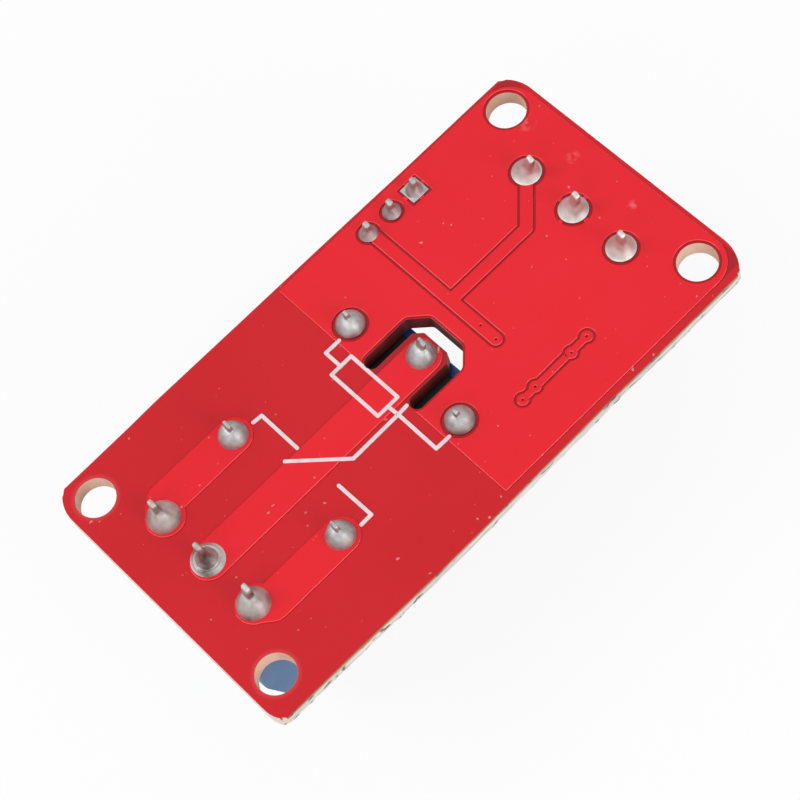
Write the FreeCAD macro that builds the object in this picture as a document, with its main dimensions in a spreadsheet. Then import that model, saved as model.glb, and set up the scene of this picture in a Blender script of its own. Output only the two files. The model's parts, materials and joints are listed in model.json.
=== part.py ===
import FreeCAD, Part
import os
import re
import Sketcher

# A one-channel relay module, lying on the flat top of its relay with the solder side up.
# Millimetres. X runs along the board towards the input terminals, Y across it, Z up.
# The origin is the middle of the board, level with the face of the relay that it lies on.

os.makedirs("parts", exist_ok=True)
doc = FreeCAD.newDocument("RelayModule")
Vector = FreeCAD.Vector

sizes = {
    # laminate board, and its mounting holes by their distance from its sides
    "board_thickness": 1.6,
    "side_margin": 5.58,
    "output_margin": 4.95,
    "input_margin": 5.55,
    "middle_span": 10.6,
    "corner_radius": 3.0,
    "score_depth": 0.5,
    "score_inset": 0.25,
    "pattern_y": 0.25,
    "mount_inset_x": 2.55,
    "mount_inset_y": 2.95,
    "mount_hole": 3.2,
    "hole_sides": 8,
    "overcut": 1.0,
    # isolating slot routed round the common contact, by its centre line
    "slot_width": 1.2,
    "slot_half": 2.5,
    "slot_back": 2.85,
    "slot_front": 2.1,
    "slot_corner": 1.0,
    # copper under its solder mask
    "copper": 0.07,
    "pour_edge": -0.83,
    "pour_inset": 0.55,
    "pour_end_inset": 0.3,
    "pour_corner": 2.6,
    "copper_gap": 0.25,
    "spoke_width": 0.4,
    "signal_width": 1.04,
    "signal_y": 1.62,
    "signal_stop": 5.0,
    "via_pad": 0.5,
    "via_inset": 5.1,
    "via_link_width": 0.6,
    "via_clearance": 1.0,
    "via_run": 6.9,
    "via_gap": 1.5,
    "power_width": 3.1,
    "common_track_y": -0.12,
    # white print of the relay's symbol, by its centre lines
    "ink": 0.03,
    "ink_width": 0.3,
    "symbol_left": -2.98,
    "symbol_right": -0.9,
    "symbol_low": -1.15,
    "symbol_high": 4.02,
    "symbol_lead_x": -1.95,
    "symbol_lead_y": 5.68,
    "symbol_lead_low": -6.37,
    "symbol_arm_y": -2.22,
    "symbol_arm_reach": 2.25,
    "symbol_arm_rise": 3.67,
    "symbol_contact_gap": 2.6,
    "symbol_contact_foot": 0.95,
    "symbol_closed_y": 5.62,
    "symbol_closed_end": 1.57,
    "symbol_open_y": -6.53,
    "symbol_open_end": -3.02,
    # solder joints
    "land_sides": 10,
    "land_relay": 1.27,
    "land_output": 1.45,
    "land_input": 1.28,
    "land_header": 0.82,
    "land_rim": 0.36,
    "mound_relay": 0.95,
    "mound_output": 1.05,
    "mound_input": 1.15,
    "mound_header": 0.75,
    "mound_shoulder": 0.85,
    "mound_neck": 0.45,
    # relay with a sealed case, by its pins
    "relay_length": 19.1,
    "relay_width": 15.3,
    "relay_height": 14.8,
    "relay_stand": 0.25,
    "relay_end": 4.2,
    "relay_round": 0.7,
    "case_wall": 0.8,
    "base_thickness": 1.5,
    "foot_size": 1.2,
    "common_inset": 1.5,
    "coil_pin_back": 1.8,
    "contact_inset": 3.45,
    "relay_pin_inset": 1.63,
    "blade_width": 1.0,
    "blade_thickness": 0.4,
    "coil_pin": 0.5,
    "relay_pin_hole": 0.6,
    "blade_tail": 2.2,
    "coil_tail": 2.1,
    # magnet system inside the relay
    "yoke_thickness": 1.2,
    "yoke_side_gap": 1.02,
    "yoke_inset": 2.0,
    "yoke_edge": 0.3,
    "head_room": 3.4,
    "core_share": 0.22,
    "core_sides": 16,
    "pole_edge": 1.0,
    "pole_thickness": 0.5,
    "tube_wall": 0.6,
    "flange_thickness": 0.9,
    "flange_gap": 0.3,
    "flange_inset": 2.15,
    "winding_thickness": 1.45,
    "ear_edge": 0.5,
    "coil_pin_rise": 1.6,
    "armature_thickness": 1.2,
    "armature_gap": 2.45,
    "armature_inset": 0.2,
    "armature_lift": 2.2,
    "magnet_gap": 0.05,
    "leaf_thickness": 0.2,
    "leaf_width": 5.0,
    "leaf_tip": 1.1,
    "leaf_gap": 0.3,
    "leaf_tail": 5.2,
    "contact_radius": 0.8,
    "contact_height": 0.3,
    "contact_travel": 0.56,
    "contact_gap": 0.04,
    "strap_thickness": 0.4,
    "strap_width": 1.8,
    # screw terminal blocks
    "way_count": 3,
    "way_spacing": 5.08,
    "block_gap": 0.3,
    "block_front": 3.3,
    "block_back": 4.3,
    "block_height": 10.0,
    "block_slope_start": 5.3,
    "block_slope_in": 1.44,
    "block_step_height": 8.4,
    "block_step_in": 0.5,
    "frame_shift": 0.45,
    "frame_depth": 3.6,
    "frame_width": 3.6,
    "frame_wall": 0.5,
    "frame_floor": 0.6,
    "frame_floor_thickness": 0.7,
    "frame_window": 3.7,
    "frame_roof": 1.0,
    "terminal_pin_width": 0.9,
    "terminal_pin_thickness": 0.6,
    "terminal_hole": 0.65,
    "output_tail": 2.9,
    "input_tail": 2.75,
    "entry_width": 3.0,
    "entry_height": 3.2,
    "screw_radius": 1.25,
    "screw_head_radius": 1.9,
    "screw_head": 1.3,
    "screw_slot": 0.6,
    "screw_slot_depth": 0.7,
    "screw_travel": 2.25,
    "well_gap": 0.15,
    "thread_gap": 0.05,
    "guard_thickness": 0.3,
    "guard_side_gap": 0.15,
    "guard_back_gap": 0.1,
    "guard_rise": 0.8,
    # pin header and the jumper on its first two pins
    "header_count": 3,
    "header_spacing": 2.54,
    "header_clearance": 5.55,
    "header_inset": 2.3,
    "header_height": 2.54,
    "header_notch": 0.45,
    "header_pin": 0.64,
    "header_hole": 0.5,
    "header_reach": 5.8,
    "header_tail": 1.8,
    "jumper_length": 5.0,
    "jumper_width": 2.5,
    "jumper_height": 6.8,
    "jumper_wall": 0.5,
    "jumper_window": 1.6,
    "jumper_seat": 0.03,
    "clip_thickness": 0.16,
    "clip_leaf": 1.1,
    "clip_gap": 0.03,
    # surface-mounted parts
    "opto_clearance": 5.9,
    "opto_gap": 0.58,
    "opto_length": 6.5,
    "opto_width": 4.6,
    "opto_height": 3.4,
    "opto_stand": 0.15,
    "opto_reach": 1.75,
    "opto_spacing": 2.54,
    "opto_lead": 0.7,
    "opto_metal": 0.25,
    "opto_foot": 0.9,
    "transistor_clearance": 3.1,
    "transistor_gap": 2.4,
    "transistor_length": 2.9,
    "transistor_width": 1.3,
    "transistor_height": 1.0,
    "transistor_stand": 0.08,
    "transistor_reach": 0.3,
    "transistor_spacing": 1.9,
    "transistor_lead": 0.42,
    "transistor_metal": 0.15,
    "transistor_foot": 0.28,
    "diode_inset": 2.8,
    "diode_length": 4.3,
    "diode_width": 2.6,
    "diode_height": 2.1,
    "diode_tab": 1.4,
    "diode_metal": 0.15,
    "diode_reach": 0.35,
    "chip_length": 2.0,
    "chip_width": 1.25,
    "chip_height": 0.5,
    "chip_cap": 0.35,
    "chip_inset": 2.0,
    "chip_spacing": 2.9,
    "chip_row_gap": 1.7,
    "chip_column_gap": 1.4,
    "chip_column_top": 1.3,
    "lens_height": 0.6,
    "lens_radius": 0.55,
    "lens_top": 0.38,
}

# Sizes that follow from others. Positions are taken from the middle of the mounting holes, and
# heights from the board's face: its solder face for what lies on it, else its component face.
derived = {
    "output_x": "case_x0 - block_gap - block_back",
    "input_x": "relay_end + middle_span + block_back",
    "board_x0": "output_x - output_margin",
    "board_x1": "input_x + input_margin",
    "board_length": "board_x1 - board_x0",
    "board_width": "way_count * way_spacing + 2 * side_margin",
    "pattern_x": "-(board_x0 + board_x1) / 2",
    "board_y0": "-board_width / 2 - pattern_y",
    "board_y1": "board_width / 2 - pattern_y",
    "hole_x": "board_length / 2 - mount_inset_x",
    "hole_y": "board_width / 2 - mount_inset_y",
    "component_face": "relay_height + relay_stand",
    "solder_face": "component_face + board_thickness",
    "common_x": "relay_end - common_inset",
    "coil_x": "common_x - coil_pin_back",
    "contact_x": "case_x0 + contact_inset",
    "symbol_contact_x": "contact_x + symbol_contact_gap",
    "symbol_arm_turn": "symbol_contact_x + symbol_arm_reach",
    "relay_pin_y": "relay_width / 2 - relay_pin_inset",
    "header_x": "relay_end + header_clearance",
    "header_y": "board_y1 - header_inset",
    "via_y": "board_y0 + via_inset",
    "signal_end": "via_y + signal_stop",
    "via_x": "relay_end + via_clearance",
    "knee_x": "output_x + power_width / 3",
    "slot_tip": "common_x + slot_front",
    "slot_turn": "slot_tip - slot_corner",
    "slot_inner": "slot_half - slot_corner",
    "case_x0": "relay_end - relay_length",
    "inner_x0": "case_x0 + case_wall",
    "inner_x1": "relay_end - case_wall",
    "inner_y": "relay_width / 2 - case_wall",
    "base_top": "relay_stand + base_thickness",
    "foot_top": "base_top + yoke_thickness",
    "yoke_back": "relay_end - yoke_inset",
    "yoke_front": "yoke_back - yoke_thickness",
    "yoke_top": "relay_stand + relay_height - case_wall - head_room",
    "yoke_width": "2 * (relay_pin_y - blade_width / 2 - yoke_side_gap)",
    "yoke_x0": "magnet_x - core_radius - yoke_edge",
    "flange_length": "yoke_front - flange_gap - contact_x - flange_inset",
    "magnet_x": "yoke_front - flange_gap - flange_length / 2",
    "core_radius": "flange_length * core_share",
    "pole_radius": "core_radius + pole_edge",
    "armature_x0": "contact_x + armature_gap",
    "pole_face": "yoke_top - magnet_gap",
    "pole_back": "pole_face - pole_thickness",
    "coil_low": "foot_top + flange_thickness",
    "coil_high": "pole_back - flange_thickness",
    "tube_radius": "core_radius + tube_wall",
    "coil_radius": "tube_radius + winding_thickness",
    "leaf_face": "yoke_top + armature_thickness",
    "leaf_top": "leaf_face + leaf_thickness",
    "leaf_back": "yoke_back + leaf_gap",
    "leaf_low": "leaf_face - leaf_tail",
    "open_face": "leaf_face - contact_height - contact_gap",
    "closed_face": "leaf_top + contact_height + contact_gap + contact_travel",
    "terminal_top": "foot_top + blade_width",
    "frame_x0": "frame_shift - frame_depth / 2",
    "frame_x1": "frame_shift + frame_depth / 2",
    "frame_inner": "frame_width - 2 * frame_wall",
    "window_low": "frame_floor + frame_floor_thickness",
    "window_top": "window_low + frame_window",
    "roof_top": "window_top + frame_roof",
    "guard_top": "window_top - 2 * thread_gap",
    "guard_low": "guard_top - guard_thickness",
    "guard_width": "frame_inner - 2 * guard_side_gap",
    "guard_x0": "frame_x1 + guard_back_gap",
    "guard_x1": "guard_x0 + guard_thickness",
    "head_low": "roof_top + thread_gap + screw_travel",
    "head_top": "head_low + screw_head",
    "well_radius": "screw_head_radius + well_gap",
    "header_x0": "header_x - header_spacing * (header_count - 1) / 2",
    "header_under": "-header_y",
    "jumper_x": "header_x0 + header_spacing / 2",
    "jumper_low": "header_height + jumper_seat",
    "jumper_top": "jumper_low + jumper_height",
    "jumper_roof": "jumper_top - jumper_wall",
    "clip_half": "header_pin / 2 + clip_gap + clip_thickness",
    "opto_x": "relay_end + opto_clearance",
    "opto_span": "opto_length / 2 + opto_reach + opto_foot",
    "opto_under": "-(header_y - header_spacing / 2 - opto_gap - opto_span)",
    "transistor_x": "relay_end + transistor_clearance",
    "transistor_under": "opto_under + opto_span + transistor_gap + transistor_width / 2",
    "diode_x": "coil_x + yoke_edge / 2",
    "chip_row_x": "relay_end + chip_row_gap",
    "chip_column_x": "relay_end + chip_column_gap",
    "diode_under": "-board_y0 - diode_inset",
    "chip_under": "-board_y0 - chip_inset",
}

sheet = doc.addObject("Spreadsheet::Sheet", "Sizes")
for row, (alias, value) in enumerate(sizes.items(), start=1):
    sheet.set("A%d" % row, alias)
    sheet.set("B%d" % row, str(value))
    sheet.setAlias("B%d" % row, alias)
doc.recompute()


# Expressions are written with plain names, and bound here to the cells of the sheet.
def bind(text):
    def name(word):
        if word[0] in derived:
            return "(" + bind(derived[word[0]]) + ")"
        return "Sizes." + word[0] if word[0] in sizes else word[0]
    return re.sub(r"[a-z][a-z0-9_]*", name, str(text))


def number(text):
    return float(sheet.evalExpression(bind(text)))


def place(item, x="0", y="0", z="0"):
    for axis, text in zip("xyz", (x, y, z)):
        item.setExpression("Placement.Base." + axis, bind(text))
    return item


def middle(centre, width):
    return "(%s) - (%s) / 2" % (centre, width), "(%s) + (%s) / 2" % (centre, width)


# The span from one distance to another, on one side of a centre.
def beside(centre, side, near, far):
    ends = ["(%s) + (%s) * (%s)" % (centre, side, distance) for distance in (near, far)]
    return tuple(ends if side > 0 else ends[::-1])


# A box by its faces, each a pair of expressions.
def slab(x, y, z):
    box = doc.addObject("Part::Box", "Slab")
    for side, (low, high) in zip(("Length", "Width", "Height"), (x, y, z)):
        box.setExpression(side, bind("(%s) - (%s)" % (high, low)))
    return place(box, x[0], y[0], z[0])


def rod(x, y, z, radius):
    cylinder = doc.addObject("Part::Cylinder", "Rod")
    cylinder.setExpression("Radius", bind(radius))
    cylinder.setExpression("Height", bind("(%s) - (%s)" % (z[1], z[0])))
    return place(cylinder, x, y, z[0])


# Lands, pin holes and the small gaps round them are many-sided instead of round.
def many_sided(x, y, z, radius, sides="land_sides"):
    prism = doc.addObject("Part::Prism", "ManySided")
    prism.setExpression("Polygon", bind(sides))
    prism.setExpression("Circumradius", bind(radius))
    prism.setExpression("Height", bind("(%s) - (%s)" % (z[1], z[0])))
    return place(prism, x, y, z[0])


# A tapering piece through many-sided sections, each given by its height and radius.
def tapered(x, y, sections):
    outlines = []
    for height, radius in sections:
        outline = doc.addObject("Part::RegularPolygon", "Section")
        outline.setExpression("Polygon", bind("land_sides"))
        outline.setExpression("Circumradius", bind(radius))
        outlines.append(place(outline, x, y, height))
    loft = doc.addObject("Part::Loft", "Tapered")
    loft.Sections = outlines
    loft.Solid = True
    loft.Ruled = True
    return loft


def fuse(parts):
    if len(parts) == 1:
        return parts[0]
    union = doc.addObject("Part::MultiFuse", "Union")
    union.Shapes = parts
    return union


def cut(base, tools):
    difference = doc.addObject("Part::Cut", "Difference")
    difference.Base = base
    difference.Tool = fuse(tools)
    return difference


def group(parts):
    compound = doc.addObject("Part::Compound", "Group")
    compound.Links = parts
    return compound


def hold(sketch, kind, where, text):
    constraint = sketch.addConstraint(Sketcher.Constraint(kind, *where, number(text)))
    sketch.setExpression("Constraints[%d]" % constraint, bind(text))


# Draws loops of straight lines by their corners, and circles given as ("circle", x, y, radius).
def draw(sketch, loops, closed=True):
    for loop in loops:
        if loop[0] == "circle":
            x, y, radius = loop[1:]
            circle = Part.Circle(Vector(number(x), number(y)), Vector(0, 0, 1), number(radius))
            curve = sketch.addGeometry(circle, False)
            hold(sketch, "DistanceX", (-1, 1, curve, 3), x)
            hold(sketch, "DistanceY", (-1, 1, curve, 3), y)
            hold(sketch, "Radius", (curve,), radius)
            continue
        spots = [Vector(number(x), number(y)) for x, y in loop]
        ends = list(zip(spots, spots[1:] + spots[:1]))
        lines = [sketch.addGeometry(Part.LineSegment(a, b), False) for a, b in ends[:None if closed else -1]]
        for line, following in zip(lines, lines[1:] + lines[:1] if closed else lines[1:]):
            sketch.addConstraint(Sketcher.Constraint("Coincident", line, 2, following, 1))
        for corner, (x, y) in enumerate(loop):
            where = (lines[corner], 1) if corner < len(lines) else (lines[-1], 2)
            hold(sketch, "DistanceX", (-1, 1) + where, x)
            hold(sketch, "DistanceY", (-1, 1) + where, y)
    return sketch


def extrude(base, z):
    prism = doc.addObject("Part::Extrusion", "Prism")
    prism.Base = base
    prism.DirMode = "Custom"
    prism.Dir = Vector(0, 0, 1)
    prism.Solid = True
    prism.setExpression("LengthFwd", bind("(%s) - (%s)" % (z[1], z[0])))
    return place(prism, z=z[0])


def plate(loops, z):
    return extrude(draw(doc.addObject("Sketcher::SketchObject", "Profile"), loops), z)


# A band of even width with round ends along a bent centre line, as a router cuts it.
def band(points, width, z):
    line = draw(doc.addObject("Sketcher::SketchObject", "CentreLine"), [points], closed=False)
    outline = doc.addObject("Part::Offset2D", "Band")
    outline.Source = line
    outline.Mode = "Pipe"
    outline.Join = "Arc"
    outline.setExpression("Value", bind("(%s) / 2" % width))
    return extrude(outline, z)


# A straight band along X or Y with many-sided ends.
def straight(start, finish, width, z):
    (x, y), (far_x, far_y) = start, finish
    run = slab((x, far_x), middle(y, width), z) if y == far_y else slab(middle(x, width), (y, far_y), z)
    return fuse([run] + [many_sided(px, py, z, "(%s) / 2" % width) for px, py in (start, finish)])


# A square-ended band of print along X and Y.
def ink_line(points, z):
    runs = []
    for (x, y), (far_x, far_y) in zip(points, points[1:]):
        spans = [("min(%s; %s) - ink_width / 2" % ends, "max(%s; %s) + ink_width / 2" % ends)
                 for ends in ((x, far_x), (y, far_y))]
        runs.append(slab(spans[0], spans[1], z))
    return fuse(runs)


# Features of a body, each drawn on one of the body's own planes.
def sketch_on(body, plane, loops, offset):
    sketch = body.newObject("Sketcher::SketchObject", "Sketch")
    sketch.AttachmentSupport = [([f for f in body.Origin.OriginFeatures if f.Role == plane][0], "")]
    sketch.MapMode = "FlatFace"
    sketch.setExpression("AttachmentOffset.Base.z", bind(offset))
    return draw(sketch, loops)


def pad(body, plane, loops, length, offset="0", midplane=False):
    feature = body.newObject("PartDesign::Pad", "Pad")
    feature.Profile = sketch_on(body, plane, loops, offset)
    feature.setExpression("Length", bind(length))
    feature.Midplane = midplane
    return feature


def pocket(body, plane, loops, length, offset="0", midplane=False, forwards=False):
    feature = body.newObject("PartDesign::Pocket", "Pocket")
    feature.Profile = sketch_on(body, plane, loops, offset)
    feature.setExpression("Length", bind(length))
    feature.Midplane = midplane
    feature.Reversed = forwards
    return feature


def round_edges(body, base, wanted, radius):
    doc.recompute()
    feature = body.newObject("PartDesign::Fillet", "Round")
    feature.Base = (base, ["Edge%d" % n for n, edge in enumerate(base.Shape.Edges, start=1) if wanted(edge)])
    feature.setExpression("Radius", bind(radius))
    return feature


nearness = 1e-6


def is_upright(edge):
    ends = [vertex.Point for vertex in edge.Vertexes]
    return len(ends) == 2 and (ends[1] - ends[0]).cross(Vector(0, 0, 1)).Length < nearness


def rectangle(x, y):
    return [(x[0], y[0]), (x[1], y[0]), (x[1], y[1]), (x[0], y[1])]


# Every finished piece is seated on one side of the board. On the component side it is drawn
# standing up from the board, and turned over about X, or about Y to face the input end.
pieces = {}
turns = {"solder": (Vector(0, 0, 1), 0),
         "under": (Vector(1, 0, 0), 180),
         "under_reversed": (Vector(0, 1, 0), 180)}


def seat(label, item, side, x="0"):
    if item.TypeId == "Part::Box":
        item = group([item])
    item.Label = label
    item.Placement = FreeCAD.Placement(Vector(), FreeCAD.Rotation(*turns[side]))
    place(item, "pattern_x + (%s)" % x, "pattern_y", "solder_face" if side == "solder" else "component_face")
    pieces[label] = item


ways = range(int(number("way_count")))
way_y = ["(%d - (way_count - 1) / 2) * way_spacing" % way for way in ways]
header_x = ["header_x0 + %d * header_spacing" % way for way in range(int(number("header_count")))]
coil_pins = [("coil_x", "relay_pin_y"), ("coil_x", "-relay_pin_y")]
blade_pins = [("common_x", "0"), ("contact_x", "relay_pin_y"), ("contact_x", "-relay_pin_y")]
output_pins = [("output_x", y) for y in way_y]
input_pins = [("input_x", y) for y in way_y]
header_pins = [(x, "header_y") for x in header_x]
mount_holes = [(x, y) for x in ("-hole_x", "hole_x") for y in ("-hole_y", "hole_y")]
vias = ["via_x", "via_x + via_gap", "via_x + via_run - via_gap", "via_x + via_run"]
slot_line = [("common_x - slot_back", "slot_half"), ("slot_turn", "slot_half"), ("slot_tip", "slot_inner"),
             ("slot_tip", "-slot_inner"), ("slot_turn", "-slot_half"), ("common_x - slot_back", "-slot_half")]
foil = ("0", "copper")
through = ("-board_thickness - overcut", "overcut")


# Routed laminate blank, snapped from its panel along two scored sides.
def make_board():
    body = doc.addObject("PartDesign::Body", "Blank")
    outline = rectangle(("board_x0", "board_x1"), ("board_y0", "board_y1"))
    blank = pad(body, "XY_Plane", [outline], "board_thickness", offset="-board_thickness")
    round_edges(body, blank, is_upright, "corner_radius")
    scores = []
    for edge, outward in (("board_y0", -1), ("board_y1", 1)):
        for face, inward in (("0", -1), ("-board_thickness", 1)):
            root = "%s + %d * score_depth" % (face, inward)
            outside = "%s + %d * overcut" % (edge, outward)
            inside = "%s - %d * score_inset" % (edge, outward)
            scores.append([(inside, face), (edge, root), (outside, root), (outside, face)])
    pocket(body, "YZ_Plane", scores, "board_length + 2 * overcut", midplane=True)
    pocket(body, "XY_Plane", [("circle", x, y, "mount_hole / 2") for x, y in mount_holes],
           "board_thickness + 2 * overcut", offset="overcut")
    holes = []
    for spots, radius in ((coil_pins + blade_pins, "relay_pin_hole"), (output_pins + input_pins, "terminal_hole"),
                          (header_pins, "header_hole")):
        holes += [many_sided(x, y, through, radius, "hole_sides") for x, y in spots]
    seat("pcb", cut(body, holes + [band(slot_line, "slot_width", through)]), "solder")


def lands(spots, radius):
    return [many_sided(x, y, foil, radius) for x, y in spots]


def square_land(grow):
    x, y = header_pins[-1]
    return slab(middle(x, "2 * (land_header + %s)" % grow), middle(y, "2 * (land_header + %s)" % grow), foil)


# The signal net runs from the first header pin past the relay, with a branch to one input pin.
def signal_bands(width):
    x = header_x[0]
    far_x, far_y = input_pins[-1]
    trunk = straight((x, "signal_end"), (x, "header_y"), width, foil)
    branch = [(x, "signal_y"), ("%s - (%s - signal_y)" % (far_x, far_y), "signal_y"), (far_x, far_y)]
    return [trunk, band(branch, width, foil)]


# Two pairs of vias carry one net under the signal's end.
def link_bands(grow):
    run = straight((vias[0], "via_y"), (vias[-1], "via_y"), "via_link_width + 2 * %s" % grow, foil)
    return [run] + lands([(x, "via_y") for x in vias], "via_pad + %s" % grow)


def power_band(pin, contact):
    return band([contact, ("knee_x", contact[1]), pin], "power_width", foil)


def make_copper():
    body = doc.addObject("PartDesign::Body", "Foil")
    outline = rectangle(("pour_edge", "board_x1 - pour_end_inset"), ("board_y0 + pour_inset", "board_y1 - pour_inset"))
    pour = pad(body, "XY_Plane", [outline], "copper")
    inside = number("common_x")
    round_edges(body, pour, lambda edge: is_upright(edge) and edge.Vertexes[0].X > inside, "pour_corner")
    gaps = [rod(x, y, foil, "mount_hole / 2 + copper_gap") for x, y in mount_holes[2:]]
    gaps += [band(slot_line, "slot_width + 2 * copper_gap", foil)]
    gaps += [slab(("pour_edge - overcut", "slot_tip"), ("-slot_inner", "slot_inner"), foil)]
    gaps += [slab(("pour_edge - overcut", "slot_turn"), ("-slot_half", "slot_half"), foil)]
    gaps += signal_bands("signal_width + 2 * copper_gap") + link_bands("copper_gap")
    gaps += lands(coil_pins, "land_relay + copper_gap") + lands(input_pins, "land_input + copper_gap")
    gaps += lands(header_pins[:-1], "land_header + copper_gap") + [square_land("copper_gap")]
    # four spokes join the pour to the middle input joint and to the square header joint
    spokes = []
    for (x, y), land in ((input_pins[1], "land_input"), (header_pins[-1], "land_header")):
        reach = "2 * (%s + 2 * copper_gap)" % land
        cross = [slab(middle(x, reach), middle(y, "spoke_width"), foil),
                 slab(middle(x, "spoke_width"), middle(y, reach), foil)]
        centre = square_land("0") if land == "land_header" else many_sided(x, y, foil, land)
        spokes.append(cut(fuse(cross), [centre]))
    seat("copper_pour", fuse([cut(body, gaps)] + spokes), "solder")
    ends = lands(header_pins[:1], "land_header") + lands(input_pins[-1:], "land_input")
    seat("signal_track", cut(fuse(signal_bands("signal_width")), ends), "solder")
    seat("via_link", fuse(link_bands("0")), "solder")
    common = straight(("output_x", "common_track_y"), ("common_x", "common_track_y"), "power_width", foil)
    tracks = {"common_track": (common, blade_pins[0], output_pins[1]),
              "closed_contact_track": (power_band(output_pins[2], blade_pins[1]), blade_pins[1], output_pins[2]),
              "open_contact_track": (power_band(output_pins[0], blade_pins[2]), blade_pins[2], output_pins[0])}
    for label, (track, contact, pin) in tracks.items():
        joints = lands([contact], "land_relay") + lands([pin], "land_output")
        seat(label, cut(fuse([track] + lands([pin], "land_output + land_rim")), joints), "solder")


# The printed relay symbol: a coil box with its two leads, a hinged arm and two fixed contacts.
def make_print():
    z = ("0", "copper + ink")
    low, high, left, right = "symbol_low", "symbol_high", "symbol_left", "symbol_right"
    lead, contact = "symbol_lead_x", "symbol_contact_x"
    foot = "symbol_contact_x - symbol_contact_foot"
    turn, level = "symbol_arm_turn", "symbol_arm_y"
    lean = "ink_width * sqrt(2) / 4"
    arm = []
    for end, side in (("0", 1), ("0", -1), ("symbol_arm_rise", -1), ("symbol_arm_rise", 1)):
        arm.append(("%s - %s + %d * %s" % (turn, end, side, lean),
                    "%s + %s + %d * %s" % (level, end, side, lean)))
    ink = [
        ink_line([(left, low), (right, low), (right, high), (left, high), (left, low)], z),
        ink_line([("symbol_right + ink_width", "symbol_lead_y"), (lead, "symbol_lead_y"), (lead, high)], z),
        ink_line([(lead, low), (lead, "symbol_lead_low"), (right, "symbol_lead_low")], z),
        ink_line([(turn, level), (right, level)], z),
        plate([arm], z),
        ink_line([(foot, "symbol_closed_y"), (contact, "symbol_closed_y"), (contact, "symbol_closed_end")], z),
        ink_line([(foot, "symbol_open_y"), (contact, "symbol_open_y"), (contact, "symbol_open_end")], z),
    ]
    # it lies over the tracks and the pour's edge, and stops at the slot and at the joints
    under = [straight(("output_x", "common_track_y"), ("common_x", "common_track_y"), "power_width", foil)]
    under += [power_band(output_pins[2], blade_pins[1]), power_band(output_pins[0], blade_pins[2])]
    under += [slab(("pour_edge", "common_x"), ("board_y0", "board_y1"), foil), band(slot_line, "slot_width", z)]
    under += [many_sided(x, y, z, "land_relay") for x, y in coil_pins]
    seat("relay_symbol_print", cut(fuse(ink), under), "solder")


# A solder joint is a mound of solder over its land, pierced by the pin that it holds.
def mound(x, y, land, rise, pin):
    sections = [("0", land), ("copper + %s / 2" % rise, "%s * mound_shoulder" % land),
                ("copper + %s" % rise, "%s * mound_neck" % land)]
    return cut(tapered(x, y, sections), [slab(middle(x, pin[0]), middle(y, pin[1]), ("-overcut", "3 * overcut"))])


def make_solder():
    blade = ("blade_thickness", "blade_width")
    relay = [mound(x, y, "land_relay", "mound_relay", ("coil_pin", "coil_pin")) for x, y in coil_pins]
    relay += [mound(x, y, "land_relay", "mound_relay", blade) for x, y in blade_pins]
    seat("relay_solder_joints", group(relay), "solder")
    pin = ("terminal_pin_thickness", "terminal_pin_width")
    outputs = [mound(x, y, "land_output", "mound_output", pin) for x, y in output_pins]
    seat("output_solder_joints", group(outputs), "solder")
    inputs = [mound(x, y, "land_input", "mound_input", pin) for x, y in input_pins]
    seat("input_solder_joints", group(inputs), "solder")
    square = ("header_pin", "header_pin")
    header = [mound(x, y, "land_header", "mound_header", square) for x, y in header_pins]
    x, y = header_pins[-1]
    corner = cut(square_land("0"), [slab(middle(x, square[0]), middle(y, square[1]), foil)])
    header[-1] = fuse([header[-1], corner])
    seat("header_solder_joints", group(header), "solder")


def make_relay_case():
    body = doc.addObject("PartDesign::Body", "Case")
    outline = rectangle(("case_x0", "relay_end"), ("-relay_width / 2", "relay_width / 2"))
    block = pad(body, "XY_Plane", [outline], "relay_height", offset="relay_stand")
    low = number("relay_stand")
    round_edges(body, block, lambda edge: max(v.Z for v in edge.Vertexes) > low + nearness, "relay_round")
    hollow = rectangle(("inner_x0", "inner_x1"), ("-inner_y", "inner_y"))
    pocket(body, "XY_Plane", [hollow], "relay_height - case_wall", offset="relay_stand", forwards=True)
    seat("relay_case", body, "under")
    # the base closes the case and stands on four feet
    base = [slab(("inner_x0", "inner_x1"), ("-inner_y", "inner_y"), ("relay_stand", "base_top"))]
    for x, inward in (("inner_x0", 1), ("inner_x1", -1)):
        for side in (1, -1):
            base.append(slab(beside(x, inward, "0", "foot_size"), beside("0", side, "inner_y - foot_size", "inner_y"),
                             ("0", "relay_stand")))
    through_base = ("-overcut", "base_top + overcut")
    holes = [slab(middle(x, "coil_pin"), middle("-(%s)" % y, "coil_pin"), through_base) for x, y in coil_pins]
    holes += [slab(middle(x, "blade_thickness"), middle("-(%s)" % y, "blade_width"), through_base)
              for x, y in blade_pins]
    seat("relay_base", cut(fuse(base), holes), "under")


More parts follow.
